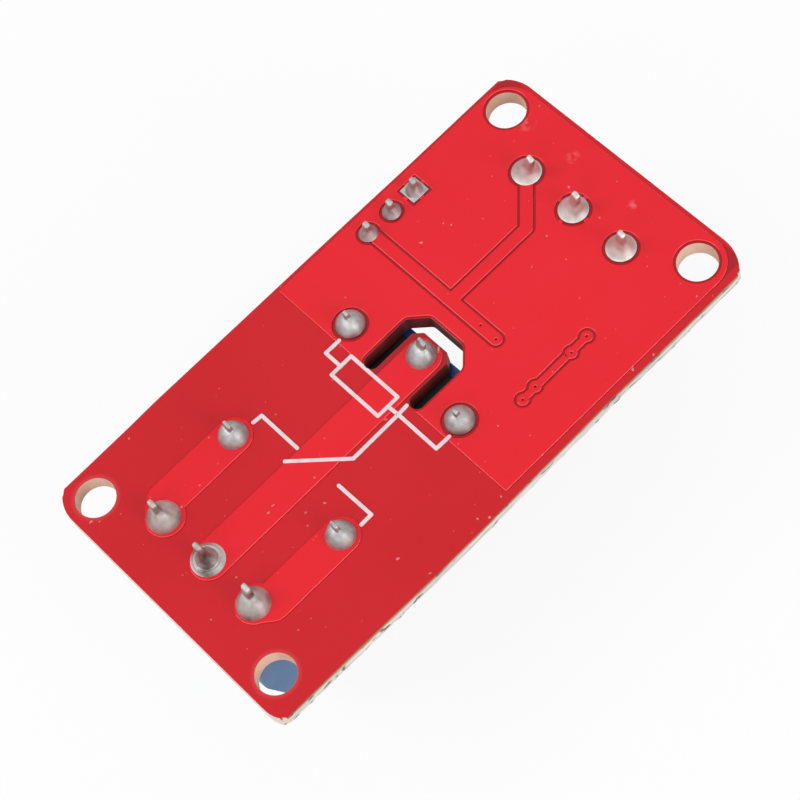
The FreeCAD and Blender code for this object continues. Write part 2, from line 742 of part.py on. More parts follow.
# An angled yoke carries the core, the bobbin and the armature's knife edge.
def make_magnet():
    profile = [("yoke_x0", "base_top"), ("yoke_back", "base_top"), ("yoke_back", "yoke_top"),
               ("yoke_front", "yoke_top"), ("yoke_front", "foot_top"), ("yoke_x0", "foot_top")]
    body = doc.addObject("PartDesign::Body", "Yoke")
    pad(body, "XZ_Plane", [profile], "yoke_width", midplane=True)
    socket = many_sided("magnet_x", "0", ("relay_stand", "foot_top + overcut"), "core_radius", "core_sides")
    seat("relay_yoke", cut(body, [socket]), "under")
    shank = many_sided("magnet_x", "0", ("base_top", "pole_face"), "core_radius", "core_sides")
    pole = many_sided("magnet_x", "0", ("pole_back", "pole_face"), "pole_radius", "core_sides")
    seat("relay_core", fuse([shank, pole]), "under")
    # the bobbin is a tube between two flanges, with the coil's pins in the lower one's ears
    flange_x = middle("magnet_x", "flange_length")
    width = middle("0", "yoke_width")
    moulding = [many_sided("magnet_x", "0", ("foot_top", "pole_back"), "tube_radius", "core_sides")]
    moulding += [slab(flange_x, width, z) for z in (("foot_top", "coil_low"), ("coil_high", "pole_back"))]
    for side in (1, -1):
        ear = beside("0", side, "yoke_width / 2", "relay_pin_y + ear_edge")
        moulding.append(slab(("magnet_x", "coil_x + coil_pin"), ear, ("foot_top", "coil_low")))
    bore = many_sided("magnet_x", "0", ("base_top", "yoke_top"), "core_radius", "core_sides")
    upright = slab(("yoke_front", "yoke_back + overcut"), width, ("base_top", "yoke_top"))
    rise = ("base_top", "coil_low + overcut")
    pins = [slab(middle(x, "coil_pin"), middle(y, "coil_pin"), rise) for x, y in coil_pins]
    seat("relay_bobbin", cut(fuse(moulding), [bore, upright] + pins), "under")
    winding = many_sided("magnet_x", "0", ("coil_low", "coil_high"), "coil_radius", "core_sides")
    tube = many_sided("magnet_x", "0", ("foot_top", "pole_back"), "tube_radius", "core_sides")
    seat("relay_coil", cut(winding, [tube]), "under")
    rise = ("-board_thickness - coil_tail", "coil_low + coil_pin_rise")
    posts = [slab(middle(x, "coil_pin"), middle(y, "coil_pin"), rise) for x, y in coil_pins]
    seat("relay_coil_pins", group(posts), "under")


# The armature and its contact leaf turn together about the yoke's upper outer edge. They are
# drawn closed, flat on the yoke and about that edge, and then lifted to their rest.
def lift(label, item):
    item.Placement = FreeCAD.Placement(Vector(), FreeCAD.Rotation(Vector(0, 1, 0), 1))
    item.setExpression("Placement.Rotation.Angle", bind("armature_lift"))
    seat(label, group([place(item, "yoke_back", "0", "yoke_top")]), "under")


def swinging(profile, width):
    body = doc.addObject("PartDesign::Body", "Swinging")
    outline = [("%s - yoke_back" % x, "%s - yoke_top" % z) for x, z in profile]
    pad(body, "XZ_Plane", [outline], width, midplane=True)
    return body


def make_contacts():
    arm = rectangle(("armature_x0", "yoke_back"), ("yoke_top", "leaf_face"))
    lift("relay_armature", swinging(arm, "yoke_width - 2 * armature_inset"))
    end, outside = "contact_x - leaf_tip", "leaf_back + leaf_thickness"
    strip = [(end, "leaf_face"), ("leaf_back", "leaf_face"), ("leaf_back", "leaf_low"), (outside, "leaf_low"),
             (outside, "leaf_top"), (end, "leaf_top")]
    spot = "contact_x - yoke_back"
    below = ("leaf_face - contact_height - yoke_top", "leaf_face - yoke_top")
    above = ("leaf_top - yoke_top", "leaf_top + contact_height - yoke_top")
    heads = [many_sided(spot, "0", z, "contact_radius") for z in (below, above)]
    lift("relay_contact_leaf", fuse([swinging(strip, "leaf_width")] + heads))
    # a strap runs from each contact pin to the middle, one below the leaf and one above it
    for label, side, face, away in (("relay_open_contact", 1, "open_face", -1),
                                    ("relay_closed_contact", -1, "closed_face", 1)):
        strap = beside(face, away, "contact_height", "contact_height + strap_thickness")
        post = slab(middle("contact_x", "blade_thickness"), middle("%d * relay_pin_y" % side, "blade_width"),
                    ("-board_thickness - blade_tail", strap[1]))
        bar = slab(middle("contact_x", "strap_width"),
                   beside("0", side, "-strap_width / 2", "relay_pin_y + blade_width / 2"), strap)
        button = many_sided("contact_x", "0", beside(face, away, "0", "contact_height"), "contact_radius")
        seat(label, fuse([post, bar, button]), "under")
    blade = slab(middle("common_x", "blade_thickness"), middle("0", "blade_width"),
                 ("-board_thickness - blade_tail", "terminal_top"))
    tab = slab(("yoke_back", "common_x + blade_thickness / 2"), middle("0", "yoke_width / 3"),
               ("foot_top", "terminal_top"))
    seat("relay_common_terminal", fuse([blade, tab]), "under")


# Screw terminal block, drawn with its pins at X = 0 and its wire entries facing -X.
def make_block(end, pin_x, side, tail):
    profile = [("-block_front", "0"), ("block_back", "0"), ("block_back", "block_step_height"),
               ("block_back - block_step_in", "block_step_height"), ("block_back - block_step_in", "block_height"),
               ("-block_front + block_slope_in", "block_height"), ("-block_front", "block_slope_start")]
    body = doc.addObject("PartDesign::Body", "Housing")
    pad(body, "XZ_Plane", [profile], "way_count * way_spacing", midplane=True)
    chambers = [rectangle(("frame_x0", "guard_x1 + guard_back_gap"), middle(y, "frame_width")) for y in way_y]
    pocket(body, "XY_Plane", chambers, "roof_top", forwards=True)
    pocket(body, "XY_Plane", [("circle", "frame_shift", y, "well_radius") for y in way_y],
           "block_height - roof_top + overcut", offset="block_height + overcut")
    entries = [rectangle(middle(y, "entry_width"), ("window_low", "window_low + entry_height")) for y in way_y]
    pocket(body, "YZ_Plane", entries, "block_front + frame_shift", offset="-block_front - overcut", forwards=True)
    seat(end + "_terminal_housing", body, side, pin_x)

    frames = []
    for y in way_y:
        outer = slab(("frame_x0", "frame_x1"), middle(y, "frame_width"), ("frame_floor", "roof_top"))
        window = slab(("frame_x0 - overcut", "frame_x1 + overcut"), middle(y, "frame_inner"), ("window_low", "window_top"))
        thread = rod("frame_shift", y, ("window_top - overcut", "roof_top + overcut"), "screw_radius + thread_gap")
        pin = slab(middle("0", "terminal_pin_thickness"), middle(y, "terminal_pin_width"),
                   ("-board_thickness - %s" % tail, "frame_floor"))
        frames.append(fuse([cut(outer, [window, thread]), pin]))
    seat(end + "_terminal_frames", group(frames), side, pin_x)

    for way, y in enumerate(way_y, start=1):
        # the screw presses a guard down on the wire inside the frame
        shelf = slab(("frame_x0 + guard_side_gap", "guard_x1"), middle(y, "guard_width"), ("guard_low", "guard_top"))
        flange = slab(("guard_x0", "guard_x1"), middle(y, "guard_width"), ("guard_low", "guard_top + guard_rise"))
        seat("%s_wire_guard_%d" % (end, way), fuse([shelf, flange]), side, pin_x)
        shank = many_sided("frame_shift", y, ("guard_top + thread_gap", "head_low"), "screw_radius")
        head = rod("frame_shift", y, ("head_low", "head_top"), "screw_head_radius")
        slot = slab(middle("frame_shift", "3 * screw_head_radius"), middle(y, "screw_slot"),
                    ("head_top - screw_slot_depth", "head_top + overcut"))
        seat("%s_terminal_screw_%d" % (end, way), cut(fuse([shank, head]), [slot]), side, pin_x)


def make_header():
    ways_outline = []
    for x in header_x:
        outline = []
        for i, j in ((-1, -1), (1, -1), (1, 1), (-1, 1)):
            inner, outer = "header_spacing / 2 - header_notch", "header_spacing / 2"
            corners = [("%s + %d * (%s)" % (x, i, a), "header_under + %d * (%s)" % (j, b))
                       for a, b in ((outer, inner), (inner, outer))]
            outline += corners if i * j > 0 else corners[::-1]
        ways_outline.append(plate([outline], ("0", "header_height")))
    square = [slab(middle(x, "header_pin"), middle("header_under", "header_pin"), ("-overcut", "header_height + overcut"))
              for x in header_x]
    seat("header_insulator", cut(fuse(ways_outline), square), "under")
    pins = [slab(middle(x, "header_pin"), middle("header_under", "header_pin"),
                 ("-board_thickness - header_tail", "header_height + header_reach")) for x in header_x]
    seat("header_pins", group(pins), "under")

    shell = doc.addObject("PartDesign::Body", "Cap")
    outline = rectangle(middle("jumper_x", "jumper_length"), middle("header_under", "jumper_width"))
    block = pad(shell, "XY_Plane", [outline], "jumper_height", offset="jumper_low")
    round_edges(shell, block, is_upright, "jumper_wall * 0.6")
    hollow = rectangle(middle("jumper_x", "jumper_length - 2 * jumper_wall"),
                       middle("header_under", "jumper_width - 2 * jumper_wall"))
    pocket(shell, "XY_Plane", [hollow], "jumper_height - jumper_wall", offset="jumper_low", forwards=True)
    window = rectangle(middle("jumper_x", "jumper_window"), middle("header_under", "jumper_window / 2"))
    pocket(shell, "XY_Plane", [window], "jumper_wall + 2 * overcut", offset="jumper_top + overcut")
    seat("jumper_cap", shell, "under")
    spring = [slab(middle("jumper_x", "jumper_length - 2 * jumper_wall"), middle("header_under", "2 * clip_half"),
                   ("jumper_roof - clip_thickness", "jumper_roof"))]
    for x in header_x[:2]:
        for side in (1, -1):
            spring.append(slab(middle(x, "clip_leaf"), beside("header_under", side, "clip_half - clip_thickness", "clip_half"),
                               ("jumper_low + jumper_wall", "jumper_roof")))
    seat("jumper_clip", fuse(spring), "under")


# A gull-wing lead: out of the body at half its height, down, and a foot on the board.
def gull_wing(kind, x, side, across_size):
    edge = "%s_under + %d * %s / 2" % (kind, side, across_size)
    height = "%s_stand + %s_height / 2" % (kind, kind)
    metal, reach, foot = kind + "_metal", kind + "_reach", kind + "_foot"
    across = middle(x, kind + "_lead")
    shoulder = slab(across, beside(edge, side, "0", reach), ("%s - %s" % (height, metal), height))
    drop = slab(across, beside(edge, side, "%s - %s" % (reach, metal), reach), ("0", height))
    toe = slab(across, beside(edge, side, "%s - %s" % (reach, metal), "%s + %s" % (reach, foot)), ("0", metal))
    return fuse([shoulder, drop, toe])


def make_optocoupler():
    seat("optocoupler", slab(middle("opto_x", "opto_width"), middle("opto_under", "opto_length"),
                             ("opto_stand", "opto_stand + opto_height")), "under")
    leads = [gull_wing("opto", "opto_x + %d * opto_spacing / 2" % along, side, "opto_length")
             for along in (-1, 1) for side in (-1, 1)]
    seat("optocoupler_leads", group(leads), "under")


def make_transistor():
    seat("transistor", slab(middle("transistor_x", "transistor_length"), middle("transistor_under", "transistor_width"),
                            ("transistor_stand", "transistor_stand + transistor_height")), "under")
    leads = [gull_wing("transistor", "transistor_x + %d * transistor_spacing / 2" % along, side,
                       "transistor_width")
             for along, side in ((-1, 1), (1, 1), (0, -1))]
    seat("transistor_leads", group(leads), "under")


# A chip lies along X or, in the column, along Y. Its two end caps go with the other terminals.
def chip(x, y, caps, along_x=True):
    half = "chip_length / 2"
    across = middle(y if along_x else x, "chip_width")
    spans = [beside(x if along_x else y, side, "%s - chip_cap" % half, half) for side in (-1, 1)]
    spans.append(middle(x if along_x else y, "chip_length - 2 * chip_cap"))
    tall = ("0", "chip_height")
    boxes = [slab(span, across, tall) if along_x else slab(across, span, tall) for span in spans]
    caps += boxes[:2]
    return boxes[2]


# A lamp, two resistors and a lamp lie in a row along the board's edge, and three resistors in
# a column beside the optocoupler. The diode lies across the coil's pins.
def make_chips():
    caps = []
    row = ["chip_row_x + %d * chip_spacing" % n for n in range(4)]
    for label, x in (("status_lamp", row[0]), ("power_lamp", row[3])):
        lens = [("chip_height", "lens_radius"), ("chip_height + lens_height", "lens_top")]
        seat(label, fuse([chip(x, "chip_under", caps), tapered(x, "chip_under", lens)]), "under")
    resistors = [chip(x, "chip_under", caps) for x in row[1:3]]
    column = ["opto_under + chip_column_top - %d * chip_spacing" % n for n in (1, 2)]
    resistors += [chip("chip_column_x", y, caps, along_x=False) for y in column]
    seat("resistors", group(resistors), "under")

    seat("flyback_diode", slab(middle("diode_x", "diode_length"), middle("diode_under", "diode_width"),
                               ("diode_metal", "diode_height")), "under")
    for side in (1, -1):
        outer = "diode_length / 2 + diode_reach"
        foot = slab(beside("diode_x", side, "diode_length / 4", outer), middle("diode_under", "diode_tab"), ("0", "diode_metal"))
        rise = slab(beside("diode_x", side, "diode_length / 2", outer), middle("diode_under", "diode_tab"),
                    ("0", "diode_height / 2"))
        caps.append(fuse([foot, rise]))
    seat("chip_terminals", group(caps), "under")


make_board()
make_copper()
make_print()
make_solder()
make_relay_case()
make_magnet()
make_contacts()
make_block("output", "output_x", "under", "output_tail")
make_block("input", "input_x", "under_reversed", "input_tail")
make_header()
make_optocoupler()
make_transistor()
make_chips()
doc.recompute()

for item in doc.Objects:
    if "Invalid" in item.State or "Error" in item.State:
        raise RuntimeError("%s of %s failed: %s" % (item.Name, item.Label, item.State))
for label, item in pieces.items():
    if item.Shape.isNull() or not item.Shape.isValid():
        raise RuntimeError("%s has no valid shape" % label)
for label, item in pieces.items():
    item.Shape.exportStep("parts/%s.step" % label)
print("%d pieces written" % len(pieces))
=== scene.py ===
import json
import math

import bmesh
import bpy
from mathutils import Matrix, Vector, noise

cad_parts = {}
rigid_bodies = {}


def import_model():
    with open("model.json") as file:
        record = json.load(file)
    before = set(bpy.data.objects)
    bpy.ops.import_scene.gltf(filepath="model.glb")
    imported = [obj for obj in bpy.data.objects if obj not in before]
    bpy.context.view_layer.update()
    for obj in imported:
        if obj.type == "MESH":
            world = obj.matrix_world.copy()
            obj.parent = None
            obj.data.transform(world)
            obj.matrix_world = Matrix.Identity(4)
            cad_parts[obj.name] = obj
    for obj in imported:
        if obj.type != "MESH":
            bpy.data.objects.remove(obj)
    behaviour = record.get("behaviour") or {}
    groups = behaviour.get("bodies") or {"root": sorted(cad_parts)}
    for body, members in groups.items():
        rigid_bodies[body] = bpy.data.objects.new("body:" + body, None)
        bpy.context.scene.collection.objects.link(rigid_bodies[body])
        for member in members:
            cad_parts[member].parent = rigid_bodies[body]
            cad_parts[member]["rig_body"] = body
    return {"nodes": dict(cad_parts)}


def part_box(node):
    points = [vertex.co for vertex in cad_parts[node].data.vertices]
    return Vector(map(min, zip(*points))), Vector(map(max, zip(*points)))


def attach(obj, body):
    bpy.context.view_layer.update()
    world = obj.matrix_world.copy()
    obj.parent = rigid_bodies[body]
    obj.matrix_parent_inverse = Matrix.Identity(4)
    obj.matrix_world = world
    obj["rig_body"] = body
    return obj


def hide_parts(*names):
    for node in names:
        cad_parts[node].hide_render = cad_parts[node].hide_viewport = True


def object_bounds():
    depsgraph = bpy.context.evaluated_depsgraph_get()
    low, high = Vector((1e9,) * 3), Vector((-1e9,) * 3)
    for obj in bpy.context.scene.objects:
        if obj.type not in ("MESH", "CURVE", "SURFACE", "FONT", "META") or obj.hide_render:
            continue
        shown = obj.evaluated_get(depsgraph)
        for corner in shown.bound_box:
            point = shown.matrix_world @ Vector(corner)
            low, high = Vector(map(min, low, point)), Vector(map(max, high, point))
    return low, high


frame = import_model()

cadBox = [list(corner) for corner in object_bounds()]
nodes = frame["nodes"]
mm = 0.001

# Places on the solder side are measured in millimetres from the middle of the four mounting holes,
# X toward the input end, Z up from the laminate's solder face.
place = {"middleX": -0.1, "middleY": 0.25, "face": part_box("pcb")[1].z / mm}


def at(x, y, z=0.0):
    return Vector(((x + place["middleX"]) * mm, (y + place["middleY"]) * mm, (z + place["face"]) * mm))


# Camera, floor and light: plain studio.

view = {
    "eye": (-34.768, -81.564, 172.099),
    "look": (0.17547548, 0.41565296, -0.89243542),
    "up": (0.68257765, 0.60187123, 0.41453441),
    "lens": 116.02,
    "sensor": 36.0,
    "clip": (0.01, 10),
}


def makeCamera():
    camera = bpy.data.cameras.new("camera")
    camera.sensor_width = view["sensor"]
    camera.lens = view["lens"]
    camera.clip_start, camera.clip_end = view["clip"]
    holder = bpy.data.objects.new("camera", camera)
    look = Vector(view["look"]).normalized()
    up = Vector(view["up"]).normalized()
    right = look.cross(up).normalized()
    turn = Matrix((right, right.cross(look), -look)).transposed().to_4x4()
    holder.matrix_world = Matrix.Translation(at(*view["eye"])) @ turn
    bpy.context.scene.collection.objects.link(holder)
    bpy.context.scene.camera = holder


studio = {
    "floorHalf": 1.2,
    "floorGlow": 0.9,
    "floorTone": 0.92,
    "floorRoughness": 0.9,
    "floorDrop": 0.00005,
    "worldLight": 0.55,
    # name: place, size, power
    "lamps": {
        "topLamp": ((-0.45, 0.35, 0.75), 0.45, 2.4),
        "frontLamp": ((0.08, -0.55, 0.26), 0.35, 1.15),
        "sideLamp": ((-0.45, -0.20, 0.40), 0.30, 0.5),
    },
}


# Camera, gloss and clear plastic see white, everything else takes the real light.
def whiteShare(tree):
    path = tree.nodes.new("ShaderNodeLightPath")
    share = path.outputs["Is Camera Ray"]
    for ray in ("Is Glossy Ray", "Is Transmission Ray"):
        either = tree.nodes.new("ShaderNodeMath")
        either.operation = "MAXIMUM"
        tree.links.new(share, either.inputs[0])
        tree.links.new(path.outputs[ray], either.inputs[1])
        share = either.outputs[0]
    return share


def mixShaders(tree, share, first, second, output):
    mix = tree.nodes.new("ShaderNodeMixShader")
    tree.links.new(share, mix.inputs["Fac"])
    tree.links.new(first.outputs[0], mix.inputs[1])
    tree.links.new(second.outputs[0], mix.inputs[2])
    tree.links.new(mix.outputs[0], tree.nodes[output].inputs["Surface"])


def makeStudio():
    world = bpy.data.worlds.new("studioWorld")
    bpy.context.scene.world = world
    world.use_nodes = True
    tree = world.node_tree
    light = tree.nodes["Background"]
    light.inputs["Color"].default_value = (1, 1, 1, 1)
    light.inputs["Strength"].default_value = studio["worldLight"]
    shown = tree.nodes.new("ShaderNodeBackground")
    shown.inputs["Color"].default_value = (1, 1, 1, 1)
    shown.inputs["Strength"].default_value = 1
    mixShaders(tree, whiteShare(tree), light, shown, "World Output")
    for name, (spot, size, power) in studio["lamps"].items():
        lamp = bpy.data.lights.new(name, "AREA")
        lamp.shape = "DISK"
        lamp.size = size
        lamp.energy = power
        holder = bpy.data.objects.new(name, lamp)
        holder.location = spot
        holder.rotation_euler = (-Vector(spot)).to_track_quat("-Z", "Y").to_euler()
        bpy.context.scene.collection.objects.link(holder)


# The floor glows white, and still takes a soft shadow.
def makeFloor():
    finish = bpy.data.materials.new("paleFloor")
    finish.use_nodes = True
    tree = finish.node_tree
    paint = tree.nodes["Principled BSDF"]
    paint.inputs["Base Color"].default_value = (*grey(studio["floorTone"]), 1)
    paint.inputs["Roughness"].default_value = studio["floorRoughness"]
    glow = tree.nodes.new("ShaderNodeEmission")
    share = tree.nodes.new("ShaderNodeMath")
    share.operation = "MULTIPLY"
    share.inputs[1].default_value = studio["floorGlow"]
    tree.links.new(whiteShare(tree), share.inputs[0])
    mixShaders(tree, share.outputs[0], paint, glow, "Material Output")
    bm = bmesh.new()
    bmesh.ops.create_grid(bm, x_segments=1, y_segments=1, size=studio["floorHalf"])
    mesh = bpy.data.meshes.new("floor")
    bm.to_mesh(mesh)
    bm.free()
    mesh.materials.append(finish)
    floor = bpy.data.objects.new("floor", mesh)
    floor.location.z = cadBox[0][2] - studio["floorDrop"]
    bpy.context.scene.collection.objects.link(floor)


# Material helpers.

def newFinish(name, **sockets):
    finish = bpy.data.materials.new(name)
    finish.use_nodes = True
    paint = finish.node_tree.nodes["Principled BSDF"]
    for socket, value in sockets.items():
        paint.inputs[socket.replace("_", " ")].default_value = value
    return finish, finish.node_tree, paint


def addNode(tree, kind, **settings):
    node = tree.nodes.new("ShaderNode" + kind)
    for name, value in settings.items():
        if name in node.inputs:
            node.inputs[name].default_value = value
        else:
            setattr(node, name, value)
    return node


def objectNoise(tree, scale, detail=3.0, roughness=0.5, stretch=None):
    coordinates = addNode(tree, "TexCoord")
    pattern = addNode(tree, "TexNoise", Scale=scale, Detail=detail, Roughness=roughness)
    source = coordinates.outputs["Object"]
    if stretch:
        mapping = addNode(tree, "Mapping", Scale=stretch)
        tree.links.new(source, mapping.inputs["Vector"])
        source = mapping.outputs["Vector"]
    tree.links.new(source, pattern.inputs["Vector"])
    return pattern.outputs["Fac"]


def ramp(tree, source, stops):
    node = addNode(tree, "ValToRGB")
    elements = node.color_ramp.elements
    while len(elements) < len(stops):
        elements.new(0.5)
    for element, (position, colour) in zip(elements, stops):
        element.position = position
        element.color = (*colour, 1)
    tree.links.new(source, node.inputs["Fac"])
    return node.outputs["Color"]


def grey(value):
    return (value, value, value)


def addBump(tree, paint, source, strength, distance):
    bump = addNode(tree, "Bump", Strength=strength, Distance=distance)
    tree.links.new(source, bump.inputs["Height"])
    tree.links.new(bump.outputs["Normal"], paint.inputs["Normal"])


def mixColour(tree, factor, first, second):
    node = addNode(tree, "Mix", data_type="RGBA")
    tree.links.new(factor, node.inputs[0])
    for socket, value in ((node.inputs[6], first), (node.inputs[7], second)):
        if isinstance(value, tuple):
            socket.default_value = (*value, 1)
        else:
            tree.links.new(value, socket)
    return node.outputs[2]


def mapRange(tree, source, fromMin, fromMax, toMin=0.0, toMax=1.0):
    node = addNode(tree, "MapRange")
    for socket, value in (("From Min", fromMin), ("From Max", fromMax), ("To Min", toMin), ("To Max", toMax)):
        node.inputs[socket].default_value = value
    tree.links.new(source, node.inputs["Value"])
    return node.outputs["Result"]


def multiply(tree, first, second):
    node = addNode(tree, "Math", operation="MULTIPLY")
    tree.links.new(first, node.inputs[0])
    tree.links.new(second, node.inputs[1])
    return node.outputs[0]


def distanceFrom(tree, spot):
    node = addNode(tree, "VectorMath", operation="DISTANCE")
    tree.links.new(addNode(tree, "TexCoord").outputs["Object"], node.inputs[0])
    node.inputs[1].default_value = spot
    return node.outputs["Value"]


def objectAxes(tree):
    node = addNode(tree, "SeparateXYZ")
    tree.links.new(addNode(tree, "TexCoord").outputs["Object"], node.inputs[0])
    return node.outputs


# Finishes.

mask = {
    "gloss": {"Roughness": 0.2, "IOR": 1.5, "Specular_IOR_Level": 0.32},
    "cloud": 60,
    "dust": 1900,
    "dustTone": (0.85, 0.55, 0.5),
    "dustShare": 0.45,
    "satin": 300,
    "roughness": (0.17, 0.26),
    "ripple": 900,
    # painted shade on the laminate in the pour's grooves
    "grooveShadeTone": (0.42, 0.004, 0.010),
    "grooveShadeDepth": 0.3,
    # paler round two holes, in mm from their middles
    "haloTone": (0.86, 0.26, 0.24),
    "haloReach": (1.6, 2.0),
    "haloShare": 0.16,
    # what flux left on the pour, as x, y and reach
    "smudges": [(22.2, 8.2, 0.9), (22.4, 3.2, 0.7), (22.4, -3.2, 0.5)],
    "smudgeTone": (0.86, 0.42, 0.38),
    "smudgeShare": 0.6,
    "smudgeGrain": 1500,
}


# Solder mask over copper is bright, and over bare laminate darker. Both carry dust and faint cloudiness.
def maskFinish(name, colour, pale, addMarksAndShade=None):
    finish, tree, paint = newFinish(name, **mask["gloss"])
    base = ramp(tree, objectNoise(tree, mask["cloud"], 1.5), [(0.3, colour), (0.72, pale)])
    dust = ramp(tree, objectNoise(tree, mask["dust"], 1), [(0.76, grey(0)), (0.81, grey(mask["dustShare"]))])
    tone = mixColour(tree, dust, base, mask["dustTone"])
    # real marks, and on the laminate also painted shade in the grooves
    if addMarksAndShade:
        tone = addMarksAndShade(tree, tone)
    tree.links.new(tone, paint.inputs["Base Color"])
    smooth, rough = mask["roughness"]
    satin = ramp(tree, objectNoise(tree, mask["satin"], 2), [(0.25, grey(smooth)), (0.8, grey(rough))])
    tree.links.new(satin, paint.inputs["Roughness"])
    addBump(tree, paint, objectNoise(tree, mask["ripple"], 3), 0.25, 0.00002)
    return finish


# Painted shade darkens the laminate in the pour's grooves, and two holes get a paler ring round them.
def laminateShadeAndHalo(tree, tone):
    axes = objectAxes(tree)
    low, high = (at(copper["pourX"][end], copper["pourY"][end]) for end in (0, 1))
    inside = None
    for axis, operation, limit in (("X", "GREATER_THAN", low.x), ("X", "LESS_THAN", high.x),
                                   ("Y", "GREATER_THAN", low.y), ("Y", "LESS_THAN", high.y),
                                   ("Z", "GREATER_THAN", low.z - mask["grooveShadeDepth"] * mm)):
        test = addNode(tree, "Math", operation=operation)
        tree.links.new(axes[axis], test.inputs[0])
        test.inputs[1].default_value = limit
        inside = test.outputs[0] if inside is None else multiply(tree, inside, test.outputs[0])
    # painted shade on the laminate between the pour's copper
    tone = mixColour(tree, inside, tone, mask["grooveShadeTone"])
    near, far = mask["haloReach"]
    for x, y in board["holes"][:2]:
        halo = mapRange(tree, distanceFrom(tree, at(x, y)), near * mm, far * mm, mask["haloShare"], 0.0)
        tone = mixColour(tree, halo, tone, mask["haloTone"])
    return tone


def smudgeMarks(tree, tone):
    grain = ramp(tree, objectNoise(tree, mask["smudgeGrain"], 3), [(0.45, grey(0)), (0.7, grey(1))])
    for x, y, reach in mask["smudges"]:
        away = distanceFrom(tree, at(x, y, copper["thick"]))
        fade = mapRange(tree, away, 0.0, reach * mm, mask["smudgeShare"], 0.0)
        tone = mixColour(tree, multiply(tree, fade, grain), tone, mask["smudgeTone"])
    return tone


glassCloth = {
    # level from the component face to the solder face, and tone; the dark red at the solder face is painted
    # shade along the scored edge
    "layers": [(0.0, (0.45, 0.30, 0.22)), (0.15, (0.78, 0.73, 0.68)), (0.7, (0.84, 0.79, 0.74)),
               (0.83, (0.62, 0.38, 0.24)), (0.96, (0.40, 0.06, 0.04))],
    "weave": 700,
    "weaveStretch": (0.4, 0.4, 9),
    "fleck": 1700,
    "fleckStretch": (0.5, 0.5, 1.2),
    "fleckTone": (0.10, 0.07, 0.07),
}


# The snapped sides show the layers of the bare glass cloth, rough and pale at mid height; the dark red next
# to the solder face is painted shade.
def sideFinish():
    finish, tree, paint = newFinish("bareGlassCloth", Roughness=0.8, IOR=1.45)
    face = place["face"] * mm
    level = mapRange(tree, objectAxes(tree)["Z"], face - board["thick"] * mm, face)
    weave = objectNoise(tree, glassCloth["weave"], 3, 0.6, glassCloth["weaveStretch"])
    shade = ramp(tree, weave, [(0.3, grey(0.55)), (0.6, grey(1.0))])
    blend = addNode(tree, "Mix", data_type="RGBA", blend_type="MULTIPLY")
    blend.inputs[0].default_value = 1.0
    tree.links.new(ramp(tree, level, glassCloth["layers"]), blend.inputs[6])
    tree.links.new(shade, blend.inputs[7])
    flecks = objectNoise(tree, glassCloth["fleck"], 2, 0.6, glassCloth["fleckStretch"])
    share = ramp(tree, flecks, [(0.59, grey(0)), (0.64, grey(0.85))])
    tone = mixColour(tree, share, blend.outputs[2], glassCloth["fleckTone"])
    tree.links.new(tone, paint.inputs["Base Color"])
    addBump(tree, paint, weave, 0.6, 0.00006)
    return finish


# The drilled holes and routed sides are smooth and tan, and the routed slot's walls are near-black red,
# painted shade.
def wallFinish(name, dark, light):
    finish, tree, paint = newFinish(name, Roughness=0.55, IOR=1.45)
    streaks = objectNoise(tree, 420, 4, 0.6, stretch=(1, 1, 0.25))
    tree.links.new(ramp(tree, streaks, [(0.3, dark), (0.7, light)]), paint.inputs["Base Color"])
    addBump(tree, paint, objectNoise(tree, 900, 3, 0.5, stretch=(1, 1, 0.4)), 0.5, 0.00004)
    return finish


def inkFinish():
    finish, tree, paint = newFinish("whiteInk", Roughness=0.45)
    tone = ramp(tree, objectNoise(tree, 1500, 4), [(0.3, (0.78, 0.62, 0.66)), (0.6, (0.86, 0.74, 0.77))])
    tree.links.new(tone, paint.inputs["Base Color"])
    addBump(tree, paint, objectNoise(tree, 4000, 2), 0.3, 0.00001)
    return finish


# Solder is satin and clouded, and some joints are stained.
def solderFinish(name, dark, middle, light, cloud, detail=5):
    finish, tree, paint = newFinish(name, Metallic=1.0, Roughness=0.4)
    tone = ramp(tree, objectNoise(tree, cloud, detail, 0.6), [(0.3, dark), (0.5, middle), (0.75, light)])
    tree.links.new(tone, paint.inputs["Base Color"])
    rough = ramp(tree, objectNoise(tree, 1400, 4), [(0.3, grey(0.46)), (0.75, grey(0.64))])
    tree.links.new(rough, paint.inputs["Roughness"])
    addBump(tree, paint, objectNoise(tree, 2600, 4), 0.3, 0.00003)
    return finish


def metalFinish(name, dark, light, roughness, grain=1200, stretch=None):
    finish, tree, paint = newFinish(name, Metallic=1.0, Roughness=roughness)
    tone = ramp(tree, objectNoise(tree, grain, 4, 0.6, stretch), [(0.3, dark), (0.7, light)])
    tree.links.new(tone, paint.inputs["Base Color"])
    satin = [(0.3, grey(roughness * 0.8)), (0.7, grey(roughness * 1.3))]
    rough = ramp(tree, objectNoise(tree, grain * 1.7, 3), satin)
    tree.links.new(rough, paint.inputs["Roughness"])
    addBump(tree, paint, objectNoise(tree, grain * 2, 3, 0.5, stretch), 0.2, 0.00002)
    return finish


# How far light runs inside the lamps and the relay's case.
clearPlastic = {"radius": (0.4, 0.6, 1.0), "scale": 0.0008}


def plasticFinish(name, dark, light, roughness, clear=0.0, bump=0.25):
    finish, tree, paint = newFinish(name, Roughness=roughness, IOR=1.48)
    if clear:
        paint.inputs["Subsurface Weight"].default_value = clear
        paint.inputs["Subsurface Radius"].default_value = clearPlastic["radius"]
        paint.inputs["Subsurface Scale"].default_value = clearPlastic["scale"]
    tone = ramp(tree, objectNoise(tree, 120, 3), [(0.3, dark), (0.7, light)])
    tree.links.new(tone, paint.inputs["Base Color"])
    satin = [(0.3, grey(roughness * 0.85)), (0.7, grey(roughness * 1.2))]
    rough = ramp(tree, objectNoise(tree, 400, 3), satin)
    tree.links.new(rough, paint.inputs["Roughness"])
    addBump(tree, paint, objectNoise(tree, 1800, 2), bump, 0.00002)
    return finish


